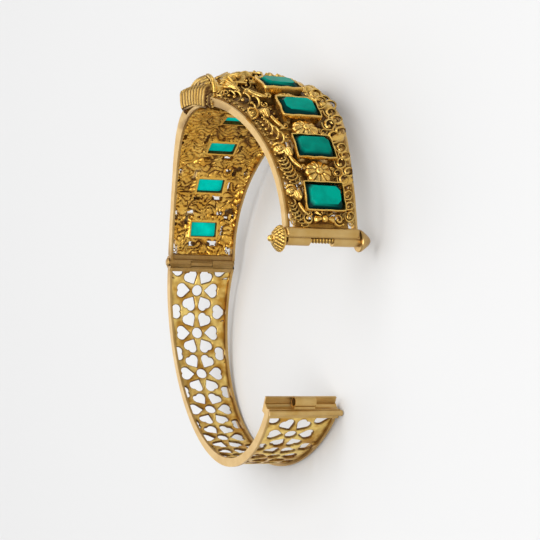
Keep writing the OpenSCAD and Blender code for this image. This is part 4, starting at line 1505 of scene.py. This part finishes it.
@dataclass
class CrownBoss:
    """Raised middle of the front half: a hollow dome with leaves and beads between two fluted caps."""

    finishes: Finishes
    chasing: Chasing
    from_u: float = math.radians(-15) * KADA.radius
    to_u: float = math.radians(9.5) * KADA.radius
    dome_half_w: float = 9.0
    dome_t: float = 1.2
    cap_w: float = 12.4
    far_tall: float = 0.82
    ribs: int = 9
    collar: Pair = (5.95, 11.75)
    stock: Stock = field(default_factory=Stock)

    @property
    def middle(self) -> float:
        """Middle of the boss along the band."""
        return (self.from_u + self.to_u) / 2

    @property
    def reach(self) -> float:
        """Half length of the boss along the band."""
        return (self.to_u - self.from_u) / 2

    def build(self) -> None:
        """Models the boss and places it."""
        self._dome()
        self._cap(1, 1.0)
        self._cap(-1, self.far_tall)
        self._ornament()
        top = HeightMap((-10, -14), (8, 14), MAP_CELL, 0.5)
        top.lay(self.stock.points())
        near = top.blurred(4)

        def dark(p: Array) -> Array:
            """Recess, darkened with patina and painted shade: gaps of the relief and the dome's ground, and
            painted shade in the flutes and on the caps' outer faces.
            """
            u, w, o = p.T
            out = np.abs(w)
            sunk = np.clip((near.at(u, w) - o - 0.1) / 0.8, 0, 1) * (out < self.dome_half_w)
            flank = np.abs(u - self.middle) > self.reach - 1.2
            # painted shade on the caps' outer faces
            face = np.clip((self.cap_w + 0.34 - out) / 0.32, 0, 1) * (out > self.cap_w - 0.7)
            ground = np.clip(1 - (o - self._skin(u, w)) / 0.5, 0, 1) * 0.85 * (out < self.dome_half_w - 0.4)
            # painted shade in the grooves between the flutes
            phase = 2 * np.abs((u - self.from_u) / (2 * self.reach) * self.ribs % 1 - 0.5)
            gap = 0.12 + 0.88 * np.clip((phase - 0.22) / 0.45, 0, 1)
            flutes = gap * (out > self.cap_w - 0.6) * (o < 4.0)
            relief = np.maximum(np.maximum(np.where(flank, 0.4 * sunk, sunk), ground), flutes)
            return np.maximum(relief, face * (o < 2.6) * (u < self.to_u))

        piece = settle(
            self.stock, "crown_boss_chased", Half.FRONT, self.finishes.antique, rule=dark,
        )
        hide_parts("crown_boss")

    def _skin(self, u: Array, w: Array) -> Array:
        """Height of the dome."""
        share = np.clip(np.abs((u - self.middle) / self.reach), 0, 1)
        fall = np.clip(np.abs(w) / self.dome_half_w, 0, 1)
        return 0.6 + 4.9 * np.sqrt(np.clip(1 - share**3, 0.0, 1)) * (1 - 0.15 * fall**2)

    def _dome(self) -> None:
        """Hollow dome between the caps."""
        sheet = Sheet(
            (self.from_u + 0.05, -self.dome_half_w), (self.to_u - 0.05, self.dome_half_w), 0.3,
            lambda u, w: np.ones_like(u), self._skin,
            lambda u, w: np.maximum(self._skin(u, w) - self.dome_t, -0.15),
        )
        self.stock.join(sheet.cut())

    def on_dome(
        self, lean_deg: float, w: float, lift: float = 0.0, turn: float = 0.0, size: float = 1.0
    ) -> Matrix:
        """Place on the dome's skin.

        Args:
            lean_deg: How far it leans from the top, along the band.
            w: Place across the band.
            lift: Height above the skin.
            turn: Turn about the skin's normal.
            size: Scale of the copy.

        Returns:
            The matrix of that place.
        """
        lean = math.radians(lean_deg)
        spot = (
            self.middle + (self.reach - 0.55) * math.copysign(abs(math.sin(lean)) ** 0.75, lean),
            w, 0.9 + (4.5 - 0.008 * w * w) * math.cos(lean) ** 0.6,
        )
        tip = Matrix.Rotation(-math.radians(30) * max(-1.0, min(1.0, w / 3)), 4, "X")
        return Matrix.Translation(spot) @ Matrix.Rotation(lean, 4, "Y") @ tip @ at(0, 0, lift, turn, size)

    def _cap(self, side: int, tall: float) -> None:
        """Fluted cap on one edge, with a fan of bold ribs that rises from its flutes to a collar.

        Args:
            side: 1 for the near edge, -1 for the far one.
            tall: Its height, as a share of the near one's.
        """
        flip = Matrix.Diagonal((1, side, 1, 1))
        edge, width = self.cap_w, 2 * self.reach / self.ribs
        radii = [width * share for share in (0.36, 0.4, 0.41, 0.41, 0.4, 0.41, 0.42, 0.42, 0.42, 0.4)]
        for i in range(self.ribs):
            share = -1 + 2 * (i + 0.5) / self.ribs
            u = self.middle + share * self.reach
            foot = -0.1 - 1.0 * share
            top = (2.95 - 0.95 * share + 0.3 * share * share) * (0.5 + 0.5 * tall)
            rise = top - 0.4 - foot
            path = [(u, edge + 0.06 * math.sin(math.pi * j / 5), foot + rise * j / 5) for j in range(6)]
            path += [(u, edge - 0.12, top - 0.05), (u, edge - 0.5, top + 0.2), (u, 11.0, top + 0.3)]
            self.stock.join(rod([*path, (u, 9.0, top + 0.2)], radii, 12, 1.25), flip)
            back = [(u, edge - 0.5, foot + 0.3), (u, edge - 0.55, top - 0.3), (u, edge - 0.9, top - 0.15)]
            self.stock.join(rod([*back, (u, 9.0, top - 0.25)], [width * 0.56] * 4, 8), flip)
        lip = [(self.from_u - 0.15, edge - 0.05, 0.95), (self.middle, edge + 0.12, -0.15)]
        lip += [(self.to_u + 0.1, edge, -1.1)]
        self.stock.join(rod(lip, [0.26] * 3, 8), flip)
        mass = Matrix.Translation((-0.2, 9.8, 2.2 * tall)) @ Matrix.Diagonal((4.1, 1.9, 2.7 * tall, 1))
        self.stock.join(bead(1.0, 1.0, 4), flip @ mass)
        self._fan(flip, tall)
        u, w = self.collar
        barrel = [(u, w, -1.15 + 2.8 * j / 6) for j in range(7)]
        self.stock.join(rod(barrel, [0.35, 0.78, 0.9, 0.95, 0.9, 0.78, 0.35], 14), flip)
        for j in range(9):
            turn = math.radians(-10 + 40 * (j % 3)) + 0.5
            spot = (u + 0.85 * math.cos(turn), w + 0.85 * math.sin(turn), -0.5 + 0.7 * (j // 3))
            self.stock.join(self.chasing.bead, flip @ at(*spot, size=0.9))
        left = block((self.from_u - 0.5, 9.6, 0.1), (self.from_u + 0.6, 12.3, 2.2))
        self.stock.join(left.soften(0.4, 3), flip)

    def _fan(self, flip: Matrix, tall: float) -> None:
        """Bold ribs that spread from the flutes to the collar, and the collar's own bow.

        Args:
            flip: Mirror of the far cap.
            tall: Its height, as a share of the near one's.
        """
        starts = ((-4.0, 3.5), (-2.8, 3.3), (-1.7, 3.0), (-0.7, 2.7), (0.9, 2.5))
        ends = ((0.5, 4.95), (1.8, 4.75), (2.9, 4.25), (3.7, 3.55), (4.2, 2.7))
        radii = [0.3 + 0.26 * min(1.0, 1.6 * j / 8) for j in range(9)]
        for (u0, o0), (u1, o1) in zip(starts, ends):
            path = []
            for j in range(9):
                run = j / 8
                swell = 0.5 * math.sin(math.pi * run)
                o = (o0 + (o1 - o0) * run**0.85 + 0.35 * swell) * tall
                path.append((u0 + (u1 - u0) * run, 12.15 - 1.15 * run + 0.5 * swell, o))
            self.stock.join(rod(path, radii, 10), flip)
        bow = (
            (-1.2, 9.6, 4.8), (0.1, 10.4, 5.2), (1.3, 10.85, 5.25), (2.5, 10.9, 4.9),
            (3.6, 10.9, 4.3), (4.4, 10.9, 3.45), (4.9, 10.9, 2.6), (5.0, 10.9, 1.8),
        )
        self.stock.join(rod([(u, w, o * tall) for u, w, o in bow], [0.47] * len(bow), 10), flip)

    def _ornament(self) -> None:
        """Leaves, swirls and beads over the dome."""
        stock, kit = self.stock, self.chasing
        top = (
            (kit.head, 12, 0.6, 0.1, 60, 1.1), (kit.bud, 22, 3.2, 0.2, 95, 1.15),
            (kit.wing, 5, 7.2, -0.5, 88, 1.1), (kit.wing, 28, 6.0, -0.4, 100, 1.15),
            (kit.wing, -10, 5.0, -0.5, 80, 1.1), (kit.leaf, 12, -2.6, 0.0, 70, 1.2),
            (kit.wing, 20, -5.0, -0.5, 92, 1.1), (kit.wing, -8, -6.6, -0.5, 85, 1.1),
            (kit.leaf, -20, 1.5, -0.1, 30, 1.2), (kit.leaf, -24, -2.8, -0.1, -20, 1.2),
            (kit.ring, 34, 1.2, -0.1, 0, 1.25), (kit.ring, 34, -2.0, -0.1, 90, 1.2),
            (kit.wing, -34, 6.5, -0.5, 95, 1.1), (kit.wing, -34, -5.6, -0.5, 80, 1.1),
            (kit.ring, -38, 3.4, -0.2, 40, 1.2),
        )
        for shape, lean, w, lift, turn, size in top:
            stock.join(shape, self.on_dome(lean, w, lift, turn, size))
        shapes = (kit.scroll, kit.leaf, kit.loop, kit.bud, kit.ring, kit.wing, kit.crescent)
        for row, lean in enumerate((-44, -27, -9, 9, 27, 44)):
            for i in range(9):
                w = 7.4 - 1.85 * i + 0.8 * (row % 2)
                shape = shapes[(2 * i + 3 * row) % len(shapes)]
                stock.join(shape, self.on_dome(lean, w, -0.3, 37 * i + 61 * row, 0.85))
        for side in (-1, 1):
            for i in range(7):
                w = 7.6 - 2.5 * i
                upper, lower = kit.leaf if i % 3 else kit.wing, kit.ring if i % 2 else kit.scroll
                stock.join(upper, self.on_dome(side * 50, w, -0.45, 90 + 12 * (i % 3 - 1), 1.0))
                stock.join(lower, self.on_dome(side * 66, w - 1.1, -0.35, 60 * i, 0.95))
            for i in range(14):
                stock.join(kit.bead, self.on_dome(side * 80, 8.2 - 1.26 * i, 0.0, 0, 1.5))
        stock.join(kit.shell, self.on_dome(74, 6.9, 0.3, 128, 1.1))
        for low, high in ((8.4, 3.9), (3.3, -0.9)):
            path = []
            for i in range(7):
                lift = 0.35 + 0.2 * math.sin(math.pi * i / 6)
                path.append(self.on_dome(60, low + (high - low) * i / 6, lift).translation)
            stock.join(rod(path, tapered(len(path), 0.42, 0.6), 8))


@dataclass
class Stones:
    """The eight step-cut stones."""

    finishes: Finishes
    length: float = 7.05
    width: float = 4.35
    low: float = 0.72
    girdle: float = 2.75
    table: float = 4.05
    fixed_below: float = 1.5
    # each table's shade: partly the stone's own tone, partly painted light and shade set to how bright that
    # stone looks in its light
    shades: tuple[float, ...] = (0.53, 0.4, 0.52, 0.47, 0.45, 0.52, 0.4, 0.53)

    def build(self) -> None:
        """Cuts each stone and places it."""
        for i, shade in enumerate(self.shades, 1):
            step = i - ROW.count - (1 if i <= ROW.count else 0)
            self._place(i, step, shade)

    def _place(self, i: int, step: int, shade: float) -> None:
        """Cuts one stone and places it.

        Args:
            i: Its number, from the hinge to the clasp.
            step: Its place along the band, counted from the crown.
            shade: Shade of its table.
        """
        u = step * ROW.pitch
        uneven = 0.012 * (i % 3 - 1)

        def lift(p: Array) -> Array:
            """How much higher the stone's upper part sits than the lowest ones."""
            return ROW.raised(abs(step), math.copysign(1, step) * (p[:, 0] - u))

        def seated(p: Array) -> Array:
            """Raises and tips the upper part; the back pane stays in its window."""
            raised = (uneven * p[:, 1] + lift(p)) * (p[:, 2] > self.fixed_below)
            return np.stack([p[:, 0], p[:, 1], p[:, 2] + raised], 1)

        stock = Stock().join(self._cut(), Matrix.Translation((u, 0, 0)))
        piece = settle(
            stock.move(seated), f"cut_stone_{i}", Half.FRONT, self.finishes.stone,
            rule=lambda p: self._shade(p, shade, lift(p)), attribute="shade", smooth_deg=12,
        )
        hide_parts(f"stone_{i}")

    def _shade(self, p: Array, table: float, lift: Array) -> Array:
        """Shade of each corner: painted light on the back pane, painted shade on the girdle and rim facets,
        and the table's own green.
        """
        height = p[:, 2] - lift
        facet = np.clip((height - self.girdle) / (self.table - self.girdle), 0, 1)
        # painted shade: girdle and rim facets near black
        crown = np.where(height > self.table - 0.13, table, 0.05 * facet)
        # painted light: the back pane at full brightness
        return np.where(p[:, 2] < self.low + 0.02, 1.0, crown)

    def _cut(self) -> Stock:
        """One stone: back pane, pavilion, girdle, two rows of crown facets and a soft-edged table."""
        low, girdle, table = self.low, self.girdle, self.table
        return loft([self._ring(*row) for row in (
            (low, 1.38, 0.3), (low + 0.06, 1.32, 0.3), (1.9, 1.28, 0.3), (girdle - 0.12, 0.1, 0.3),
            (girdle, 0.03, 0.35), (girdle + 0.2, 0.06, 0.4), (girdle + 0.75, 0.55, 0.6),
            (table - 0.12, 1.2, 0.75), (table - 0.08, 1.25, 0.75), (table - 0.03, 1.33, 0.75),
            (table, 1.55, 0.7),
        )])

    def _ring(self, height: float, less: float, corner: float) -> list[Spot]:
        """Rectangle with cut corners."""
        half_u, half_w = (self.width - less) / 2, (self.length - less) / 2
        ring = [(half_u, half_w - corner), (half_u - corner, half_w)]
        ring += [(-x, y) for x, y in reversed(ring)]
        ring += [(-x, -y) for x, y in ring]
        return [(x, y, height) for x, y in ring]


@dataclass
class BackHalf:
    """Pierced sheet of the back half, with rows of round holes between hearts."""

    finishes: Finishes
    pitch: float = 9.0
    first: float = 5.6
    rows: int = 9
    hole_r: float = 1.12
    heart_at: float = 3.05
    heart_l: float = 2.65
    heart_w: float = 2.72
    next_w: float = 8.1
    centre_w: float = 0.4
    bridge: float = 0.27
    sheet_t: float = 0.7
    sheet_half_w: float = 7.0
    from_s: float = 1.3
    clasp_room: float = 2.9

    @property
    def to_s(self) -> float:
        """End of the sheet, before the clasp's channel."""
        return KADA.back_len - self.clasp_room

    def build(self) -> None:
        """Models the sheet and places it."""
        def face(s: Array, w: Array) -> Array:
            """Outer face, rounded towards the edges of the holes."""
            near = np.clip(1 - self._metal(s, w) / 0.22, 0, 1)
            return self.sheet_t / 2 - 0.16 * near**2

        def dark(p: Array) -> Array:
            """Recess: painted shade on the walls of the holes, and darker patches along the rails and at the
            ends.
            """
            s, w, o = p.T
            rough = 0.5 + 0.5 * np.sin(1.3 * s + 2.1 * np.sin(0.9 * w)) * np.sin(1.9 * w + 0.5 * s)
            # painted shade on the walls of the holes
            wall = np.clip(1 - self._metal(s, w) / 0.1, 0, 1) * (np.abs(o) < 0.3)
            rail = np.clip(1 - (KADA.back_half_w(s) - KADA.rail_t - np.abs(w)) / 0.7, 0, 1)
            ends = np.clip(1 - (np.minimum(s, KADA.back_len - s) - 1.5) / 1.5, 0, 1)
            return np.clip(0.2 * rough + 0.85 * wall + 0.6 * np.maximum(rail, ends) * rough, 0, 1)

        sheet = Sheet(
            (self.from_s, -self.sheet_half_w), (self.to_s, self.sheet_half_w), 0.2, self._metal,
            face, lambda s, w: -face(s, w),
        )
        piece = settle(
            sheet.cut(), "lattice_pierced", Half.BACK, self.finishes.lattice,
            rule=dark, smooth_deg=50,
        )
        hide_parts("back_lattice")

    def _metal(self, s: Array, w: Array) -> Array:
        """Outline of the sheet, less circles and hearts."""
        edge = KADA.back_half_w(s) - KADA.rail_t + 0.12 - np.abs(w)
        value = np.minimum(edge, np.minimum(s - self.from_s, self.to_s - s))
        for row in range(-1, self.rows + 1):
            ds, dw = s - (self.first + row * self.pitch), w - self.centre_w
            near = np.abs(ds) < 6.5
            if not near.any():
                continue
            holes = [np.hypot(ds[near], dw[near]) - self.hole_r] if 0 <= row < self.rows else []
            for turn in range(30, 390, 60) if row >= 0 else ():
                holes.append(self._heart(ds[near], dw[near], self.heart_at, math.radians(turn)))
            if row < self.rows:
                for side in (-1, 1):
                    beside = ds[near] - self.pitch / 2, dw[near] - side * self.next_w
                    for turn in (-30, 30, 90):
                        holes.append(self._heart(*beside, self.heart_at, math.radians(-side * turn)))
            cut = np.maximum(np.min(holes, axis=0), self.bridge - edge[near])
            value[near] = np.minimum(value[near], cut)
        return value

    def _heart(self, x: Array, y: Array, reach: float, turn: float) -> Array:
        """Distance outside a heart whose point looks at the origin."""
        along = x * math.cos(turn) + y * math.sin(turn) - (reach - self.heart_l / 2)
        across = np.abs(-x * math.sin(turn) + y * math.cos(turn))
        h, a = along / self.heart_l * 1.1036, across / self.heart_w * 1.2071
        lobe = np.hypot(a - 0.25, h - 0.75) - math.sqrt(2) / 4
        diagonal = 0.5 * np.maximum(a + h, 0)
        dent, side = a**2 + (h - 1) ** 2, (a - diagonal) ** 2 + (h - diagonal) ** 2
        flank = np.sqrt(np.minimum(dent, side)) * np.sign(a - h)
        unit = np.where(a + h > 1, lobe, flank)
        return unit * self.heart_l / 1.1036 - 0.12


@dataclass
class ClaspScrew:
    """Screw of the clasp: domed knob with scales, thread and tip."""

    finishes: Finishes
    core_r: float = 0.56
    thread_r: float = 0.72
    thread_pitch: float = 0.62
    tip_w: float = -6.6
    knob_w: float = KADA.knob_w
    knob_r: float = 2.35
    nub_w: float = 10.4
    stock: Stock = field(default_factory=Stock)

    def build(self) -> None:
        """Models the screw and places it."""
        r, w = self.knob_r, self.knob_w
        knob = [
            (0.6, w), (r - 0.35, w), (r - 0.06, w + 0.1), (r, w + 0.3), (r - 0.04, w + 0.5),
            (r - 0.3, w + 0.85), (r - 0.72, w + 1.3), (1.15, w + 1.75), (0.78, w + 2.0),
            (0.55, w + 2.05), (0.62, w + 2.25),
            (0.6, self.nub_w - 0.3), (0.42, self.nub_w - 0.08), (0.2, self.nub_w),
        ]
        domed = knob[3:9]
        self._thread()
        self.stock.join(turned(knob, 40))
        self._scales()
        self.stock.move(lambda p: p + np.array([KADA.clasp_x, 0, 0]))

        def dark(p: Array) -> Array:
            """Recess: the foot of the thread and the gaps between the scales."""
            reach = np.hypot(p[:, 0] - KADA.clasp_x, p[:, 1])
            thread = np.clip((self.thread_r - reach) / 0.16, 0, 1) * 0.8 * (p[:, 2] < w - 0.1)
            skin = np.interp(p[:, 2], [high for _, high in domed], [radius for radius, _ in domed])
            scales = np.clip(1 - (reach - skin) / 0.16, 0, 1) * (p[:, 2] > w + 0.4) * (p[:, 2] < w + 1.9)
            return np.maximum(thread, 0.75 * scales)

        piece = settle(
            self.stock, "clasp_screw_chased", Half.FRONT, self.finishes.antique,
            rule=dark, space=Space.AXES, body="clasp_screw",
        )
        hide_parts("clasp_screw")

    def _thread(self) -> None:
        """Pin with ridges, from its tip into the knob."""
        length, step = self.knob_w - self.tip_w, self.thread_pitch
        profile = [(0.2, 0.0), (self.core_r - 0.1, 0.15)]
        for i in range(int(length / step) - 1):
            foot = 0.3 + i * step
            profile += [
                (self.core_r, foot), (self.thread_r, foot + step * 0.3),
                (self.thread_r, foot + step * 0.5), (self.core_r, foot + step * 0.8),
            ]
        profile += [(self.core_r, length - 0.2), (self.core_r, length + 0.3)]
        self.stock.join(turned(profile, 20), Matrix.Translation((0, 0, self.tip_w)))

    def _scales(self) -> None:
        """Three rows of small scales round the knob's dome."""
        scale = plate(0.95, lambda s: 0.31 * dome(s), lambda s, t: 0.19 * dome(t) * dome(s), 6, 6, 0.15)
        rows = (
            (self.knob_r - 0.12, self.knob_w + 0.62, 62, 20),
            (self.knob_r - 0.5, self.knob_w + 1.05, 50, 16),
            (1.36, self.knob_w + 1.5, 44, 12),
        )
        for row, (radius, w, lean_deg, count) in enumerate(rows):
            place = Matrix.Translation((radius, 0, w)) @ Matrix.Rotation(math.radians(lean_deg), 4, "Y")
            for i in range(count):
                turn = Matrix.Rotation(math.tau * (i + 0.5 * (row % 2)) / count, 4, "Z")
                self.stock.join(scale, turn @ place)


@dataclass
class Frames:
    """Soldered frames of both halves and the hinge pin: the CAD shapes with rounded edges."""

    finishes: Finishes
    frame: dict
    slot_front: float = 0.45
    slot_back: float = -0.5
    knob_w: float = KADA.knob_w
    bar_half_w: float = 7.4
    bar_y: Pair = (0.22, 2.1)
    bar_x: Pair = (-0.2, 1.83)
    bar_round: float = 0.62
    seat_r: float = 1.45
    finial_l: float = 2.4
    cad_finial_l: float = 2.8
    finial_r: Pair = (0.45, 2.1)
    hinge_r: float = 1.4
    hinge_flat: float = 0.62
    knuckle_r: float = 1.2
    slim_r: float = 1.02
    channel_depth: float = 0.32
    channel_rim: float = 0.26
    near: float = 0.02

    def build(self) -> None:
        """Copies each node and softens it."""
        self._softened("front_frame", Half.FRONT, 0.2)
        self._softened("back_frame", Half.BACK, 0.15)
        self._softened("hinge_pin", Half.FRONT, 0.05)

    def _softened(self, node: str, half: Half, width: float) -> None:
        """Copies a CAD node, shapes it further and rounds its edges.

        Args:
            node: The node's name.
            half: The half that it belongs to.
            width: Width of the rounding.
        """
        stock = Stock()
        source = self.frame["nodes"][node]
        stock.bm.from_mesh(source.data)
        stock.bm.transform(source.matrix_world)
        bmesh.ops.remove_doubles(stock.bm, verts=stock.bm.verts, dist=2e-6)
        flat = math.radians(0.6)
        bmesh.ops.dissolve_limit(stock.bm, angle_limit=flat, verts=stock.bm.verts, edges=stock.bm.edges)
        stock.move(lambda p: KADA.stood(p, half))
        if node == "front_frame":
            stock.move(self._front_shaped)
            stock.join(self._clasp_bar())
        elif node == "back_frame":
            stock.move(self._back_shaped)
        if node != "hinge_pin":
            self._sink(stock)
        piece = settle(
            stock, f"{node}_softened", half, self.finishes.polished,
            rule=lambda p: self._frame_darkening(p, half), space=Space.AXES,
        )
        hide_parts(node)
        bevel = piece.modifiers.new("round", "BEVEL")
        bevel.width = width * MM
        bevel.segments = 2
        bevel.limit_method = "ANGLE"
        bevel.angle_limit = math.radians(35)

    def _clasp_bar(self) -> Stock:
        """Rounded block over the clasp's cover bar, hollowed to clear the other half's knuckle."""
        (x0, x1), (y0, y1), w = self.bar_x, self.bar_y, self.bar_half_w - 0.02
        bar = block((KADA.clasp_x + x0, y0, -w), (KADA.clasp_x + x1, y1, w)).soften(self.bar_round, 5)

        def hollowed(p: Array) -> Array:
            """Raises the underside to the seat of the knuckle."""
            seat = np.sqrt(np.maximum(self.seat_r**2 - (p[:, 0] - KADA.clasp_x) ** 2, 0))
            return np.column_stack([p[:, 0], np.maximum(p[:, 1], seat), p[:, 2]])

        return bar.move(hollowed)

    def _front_shaped(self, p: Array) -> Array:
        """Opens the hinge's slot, draws the clasp bar in and the far finial out to a cone."""
        x, y, w = p.T.copy()
        y = np.where((x < 0) & (np.abs(y - KADA.run_gap) < self.near), self.slot_front, y)
        outer = (x > KADA.clasp_x + 1.6) & (np.abs(w) < self.knob_w - 0.1)
        x = np.where(outer, x - np.where(y > 1.5, 0.5, 0.3), x)
        y = np.where(outer & (y > 1.5), y - 0.15, y)
        x = self._slim_hinge(x, y)
        finial = (w < -self.knob_w - self.near) & (x > KADA.clasp_x - 3.0)
        out = (-w - self.knob_w) * self.finial_l / self.cad_finial_l
        reach = np.hypot(x - KADA.clasp_x, y)
        w = np.where((np.abs(w + self.knob_w) < self.near) & (reach < 2.2), w - 0.05, w)
        tip_r, base_r = self.finial_r
        cone = 1 - (out - tip_r) / (self.finial_l - tip_r)
        cone = np.minimum(tip_r + (base_r - tip_r) * np.clip(cone, 0, 1) ** 0.8, base_r)
        grow = np.where(finial & (reach > 1e-6), cone / np.maximum(reach, 1e-6), 1.0)
        w = np.where(finial, -self.knob_w - out, w)
        return np.stack([KADA.clasp_x + (x - KADA.clasp_x) * grow, y * grow, w], 1)

    def _slim_hinge(self, x: Array, y: Array) -> Array:
        """Flattens the hinge knuckles' inner side, so that they lie back in their slot."""
        reach = x - KADA.hinge_x
        inner = (np.abs(np.hypot(reach, y) - self.hinge_r) < 0.03) & (x > KADA.hinge_x + 0.3)
        return np.where(inner, KADA.hinge_x + reach * self.hinge_flat, x)

    def _back_shaped(self, p: Array) -> Array:
        """Opens the hinge's slot, lowers the clasp channel's wall and slims its knuckle."""
        x, y, w = p.T.copy()
        y = np.where((x < 0) & (np.abs(y + KADA.run_gap) < self.near), self.slot_back, y)
        y = np.where((x > KADA.clasp_x - 2.0) & (x < KADA.clasp_x - 1.3) & (y > 0.9), 0.2, y)
        x = self._slim_hinge(x, y)
        knuckle = np.abs(np.hypot(x - KADA.clasp_x, y) - self.knuckle_r) < self.near
        slim = np.where(knuckle & (np.abs(w) < 2.2), self.slim_r / self.knuckle_r, 1.0)
        return np.stack([KADA.clasp_x + (x - KADA.clasp_x) * slim, y * slim, w], 1)

    @staticmethod
    def _frame_darkening(p: Array, half: Half) -> Array:
        """Recess of each corner: the frame inside its rails and about the hinge, but hardly by the clasp."""
        x, y, w = p.T
        if half is Half.FRONT:
            edge, share = KADA.front_half_w(KADA.radius * np.arctan2(x, y - KADA.centre)), 0.5
        else:
            edge, share = KADA.back_half_w_at(y), 0.35
        inner = (np.abs(w) < edge - 0.3) * share
        hinge = (np.hypot(x - KADA.hinge_x, y) < 2.2) * np.where(y > 0, 0.5, 0.25)
        clasp = (x > KADA.clasp_x - 2.6) & (y > -3.2)
        return np.where(clasp, 0.08, np.maximum(inner, hinge))

    def _sink(self, stock: Stock) -> None:
        """Sinks a channel in the hinge bar's inner face."""
        def flat_inside(face: bmesh.types.BMFace) -> bool:
            """Whether a face is the large one that looks at the bangle's middle."""
            middle = face.calc_center_median()
            return middle.x < -25 and face.normal.x > 0.9 and face.calc_area() > 8 and abs(middle.z) < 1

        for face in [face for face in stock.bm.faces if flat_inside(face)]:
            rim, depth = self.channel_rim, -self.channel_depth
            bmesh.ops.inset_region(stock.bm, faces=[face], thickness=rim, depth=depth)


@dataclass
class Studio:
    """Pale floor, soft lights and the camera at the photograph's angle."""

    azimuth_deg: float = 22.798
    elevation_deg: float = -4.545
    roll_deg: float = -0.263
    distance: float = 395.764
    focal_px: float = 2016.901
    centre_px: Pair = (256.921, 251.984)
    side_px: int = 540

    def build(self) -> None:
        """Sets up the camera, the lights and the floor."""
        self._camera()
        self._floor()
        self._lights()

    def _camera(self) -> None:
        """Camera on the bangle's own axes, laid over with it."""
        az, el, roll = (math.radians(a) for a in (self.azimuth_deg, self.elevation_deg, self.roll_deg))
        back = Vector((math.cos(el) * math.cos(az), math.sin(el), math.cos(el) * math.sin(az)))
        right = Vector((0, 1, 0)).cross(back).normalized()
        up = back.cross(right)
        right, up = math.cos(roll) * right + math.sin(roll) * up, math.cos(roll) * up - math.sin(roll) * right
        pose = Matrix((right, up, back)).transposed().to_4x4()
        pose.translation = back * self.distance
        pose = Matrix.Translation(Vector(KADA.shift)) @ KADA.posture @ pose
        pose.translation = pose.translation * MM
        data = bpy.data.cameras.new("camera")
        data.sensor_width = 36.0
        data.lens = self.focal_px / self.side_px * data.sensor_width
        data.shift_x = (self.side_px / 2 - self.centre_px[0]) / self.side_px
        data.shift_y = (self.centre_px[1] - self.side_px / 2) / self.side_px
        data.clip_start = 0.01
        camera = shown("camera", data)
        camera.matrix_world = pose
        bpy.context.scene.camera = camera

    @staticmethod
    def _floor() -> None:
        """Wide pale floor."""
        bench = Bench("floor_pale")
        material = bench.finish({
            "Base Color": (0.70, 0.70, 0.70, 1), "Roughness": 0.9, "Specular IOR Level": 0.1,
        })
        stock = Stock()
        bmesh.ops.create_grid(stock.bm, x_segments=8, y_segments=8, size=4.0)
        mesh = bpy.data.meshes.new("floor")
        stock.bm.to_mesh(mesh)
        stock.bm.free()
        mesh.materials.append(material)
        floor = shown("floor", mesh)
        floor.location.z = -0.0002

    @staticmethod
    def _lights() -> None:
        """Large soft lamps over and before the bangle, and a pale room."""
        lamps = (
            ("lamp_above", (0.05, 0.15, 0.8), 0.9, 4.4),
            ("lamp_behind", (-0.75, 0.05, 0.42), 0.75, 1.5),
            ("lamp_camera_side", (0.7, -0.25, 0.5), 0.55, 3.7),
            ("lamp_left", (-0.1, 0.8, 0.45), 0.45, 0.9),
        )
        for name, place, size, power in lamps:
            data = bpy.data.lights.new(name, "AREA")
            data.shape = "DISK"
            data.size = size
            data.energy = power
            lamp = shown(name, data)
            lamp.location = place
            lamp.rotation_euler = (-Vector(place)).to_track_quat("-Z", "Y").to_euler()
        world = bpy.data.worlds.new("room")
        world.use_nodes = True
        sky = world.node_tree.nodes["Background"]
        sky.inputs["Color"].default_value = (1, 1, 1, 1)
        sky.inputs["Strength"].default_value = 0.44
        bpy.context.scene.world = world
        bpy.context.scene.view_settings.view_transform = "Standard"


def main() -> None:
    """Builds the bangle and its studio."""
    logging.basicConfig(level=logging.INFO, format="%(message)s")
    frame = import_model()
    finishes = Finishes.made()
    chasing = Chasing()
    Studio().build()
    Frames(finishes, frame).build()
    Openwork(1, finishes, chasing).build()
    Openwork(-1, finishes, chasing).build()
    CrownBoss(finishes, chasing).build()
    Stones(finishes).build()
    BackHalf(finishes).build()
    ClaspScrew(finishes).build()


if __name__ == "__main__":
    main()
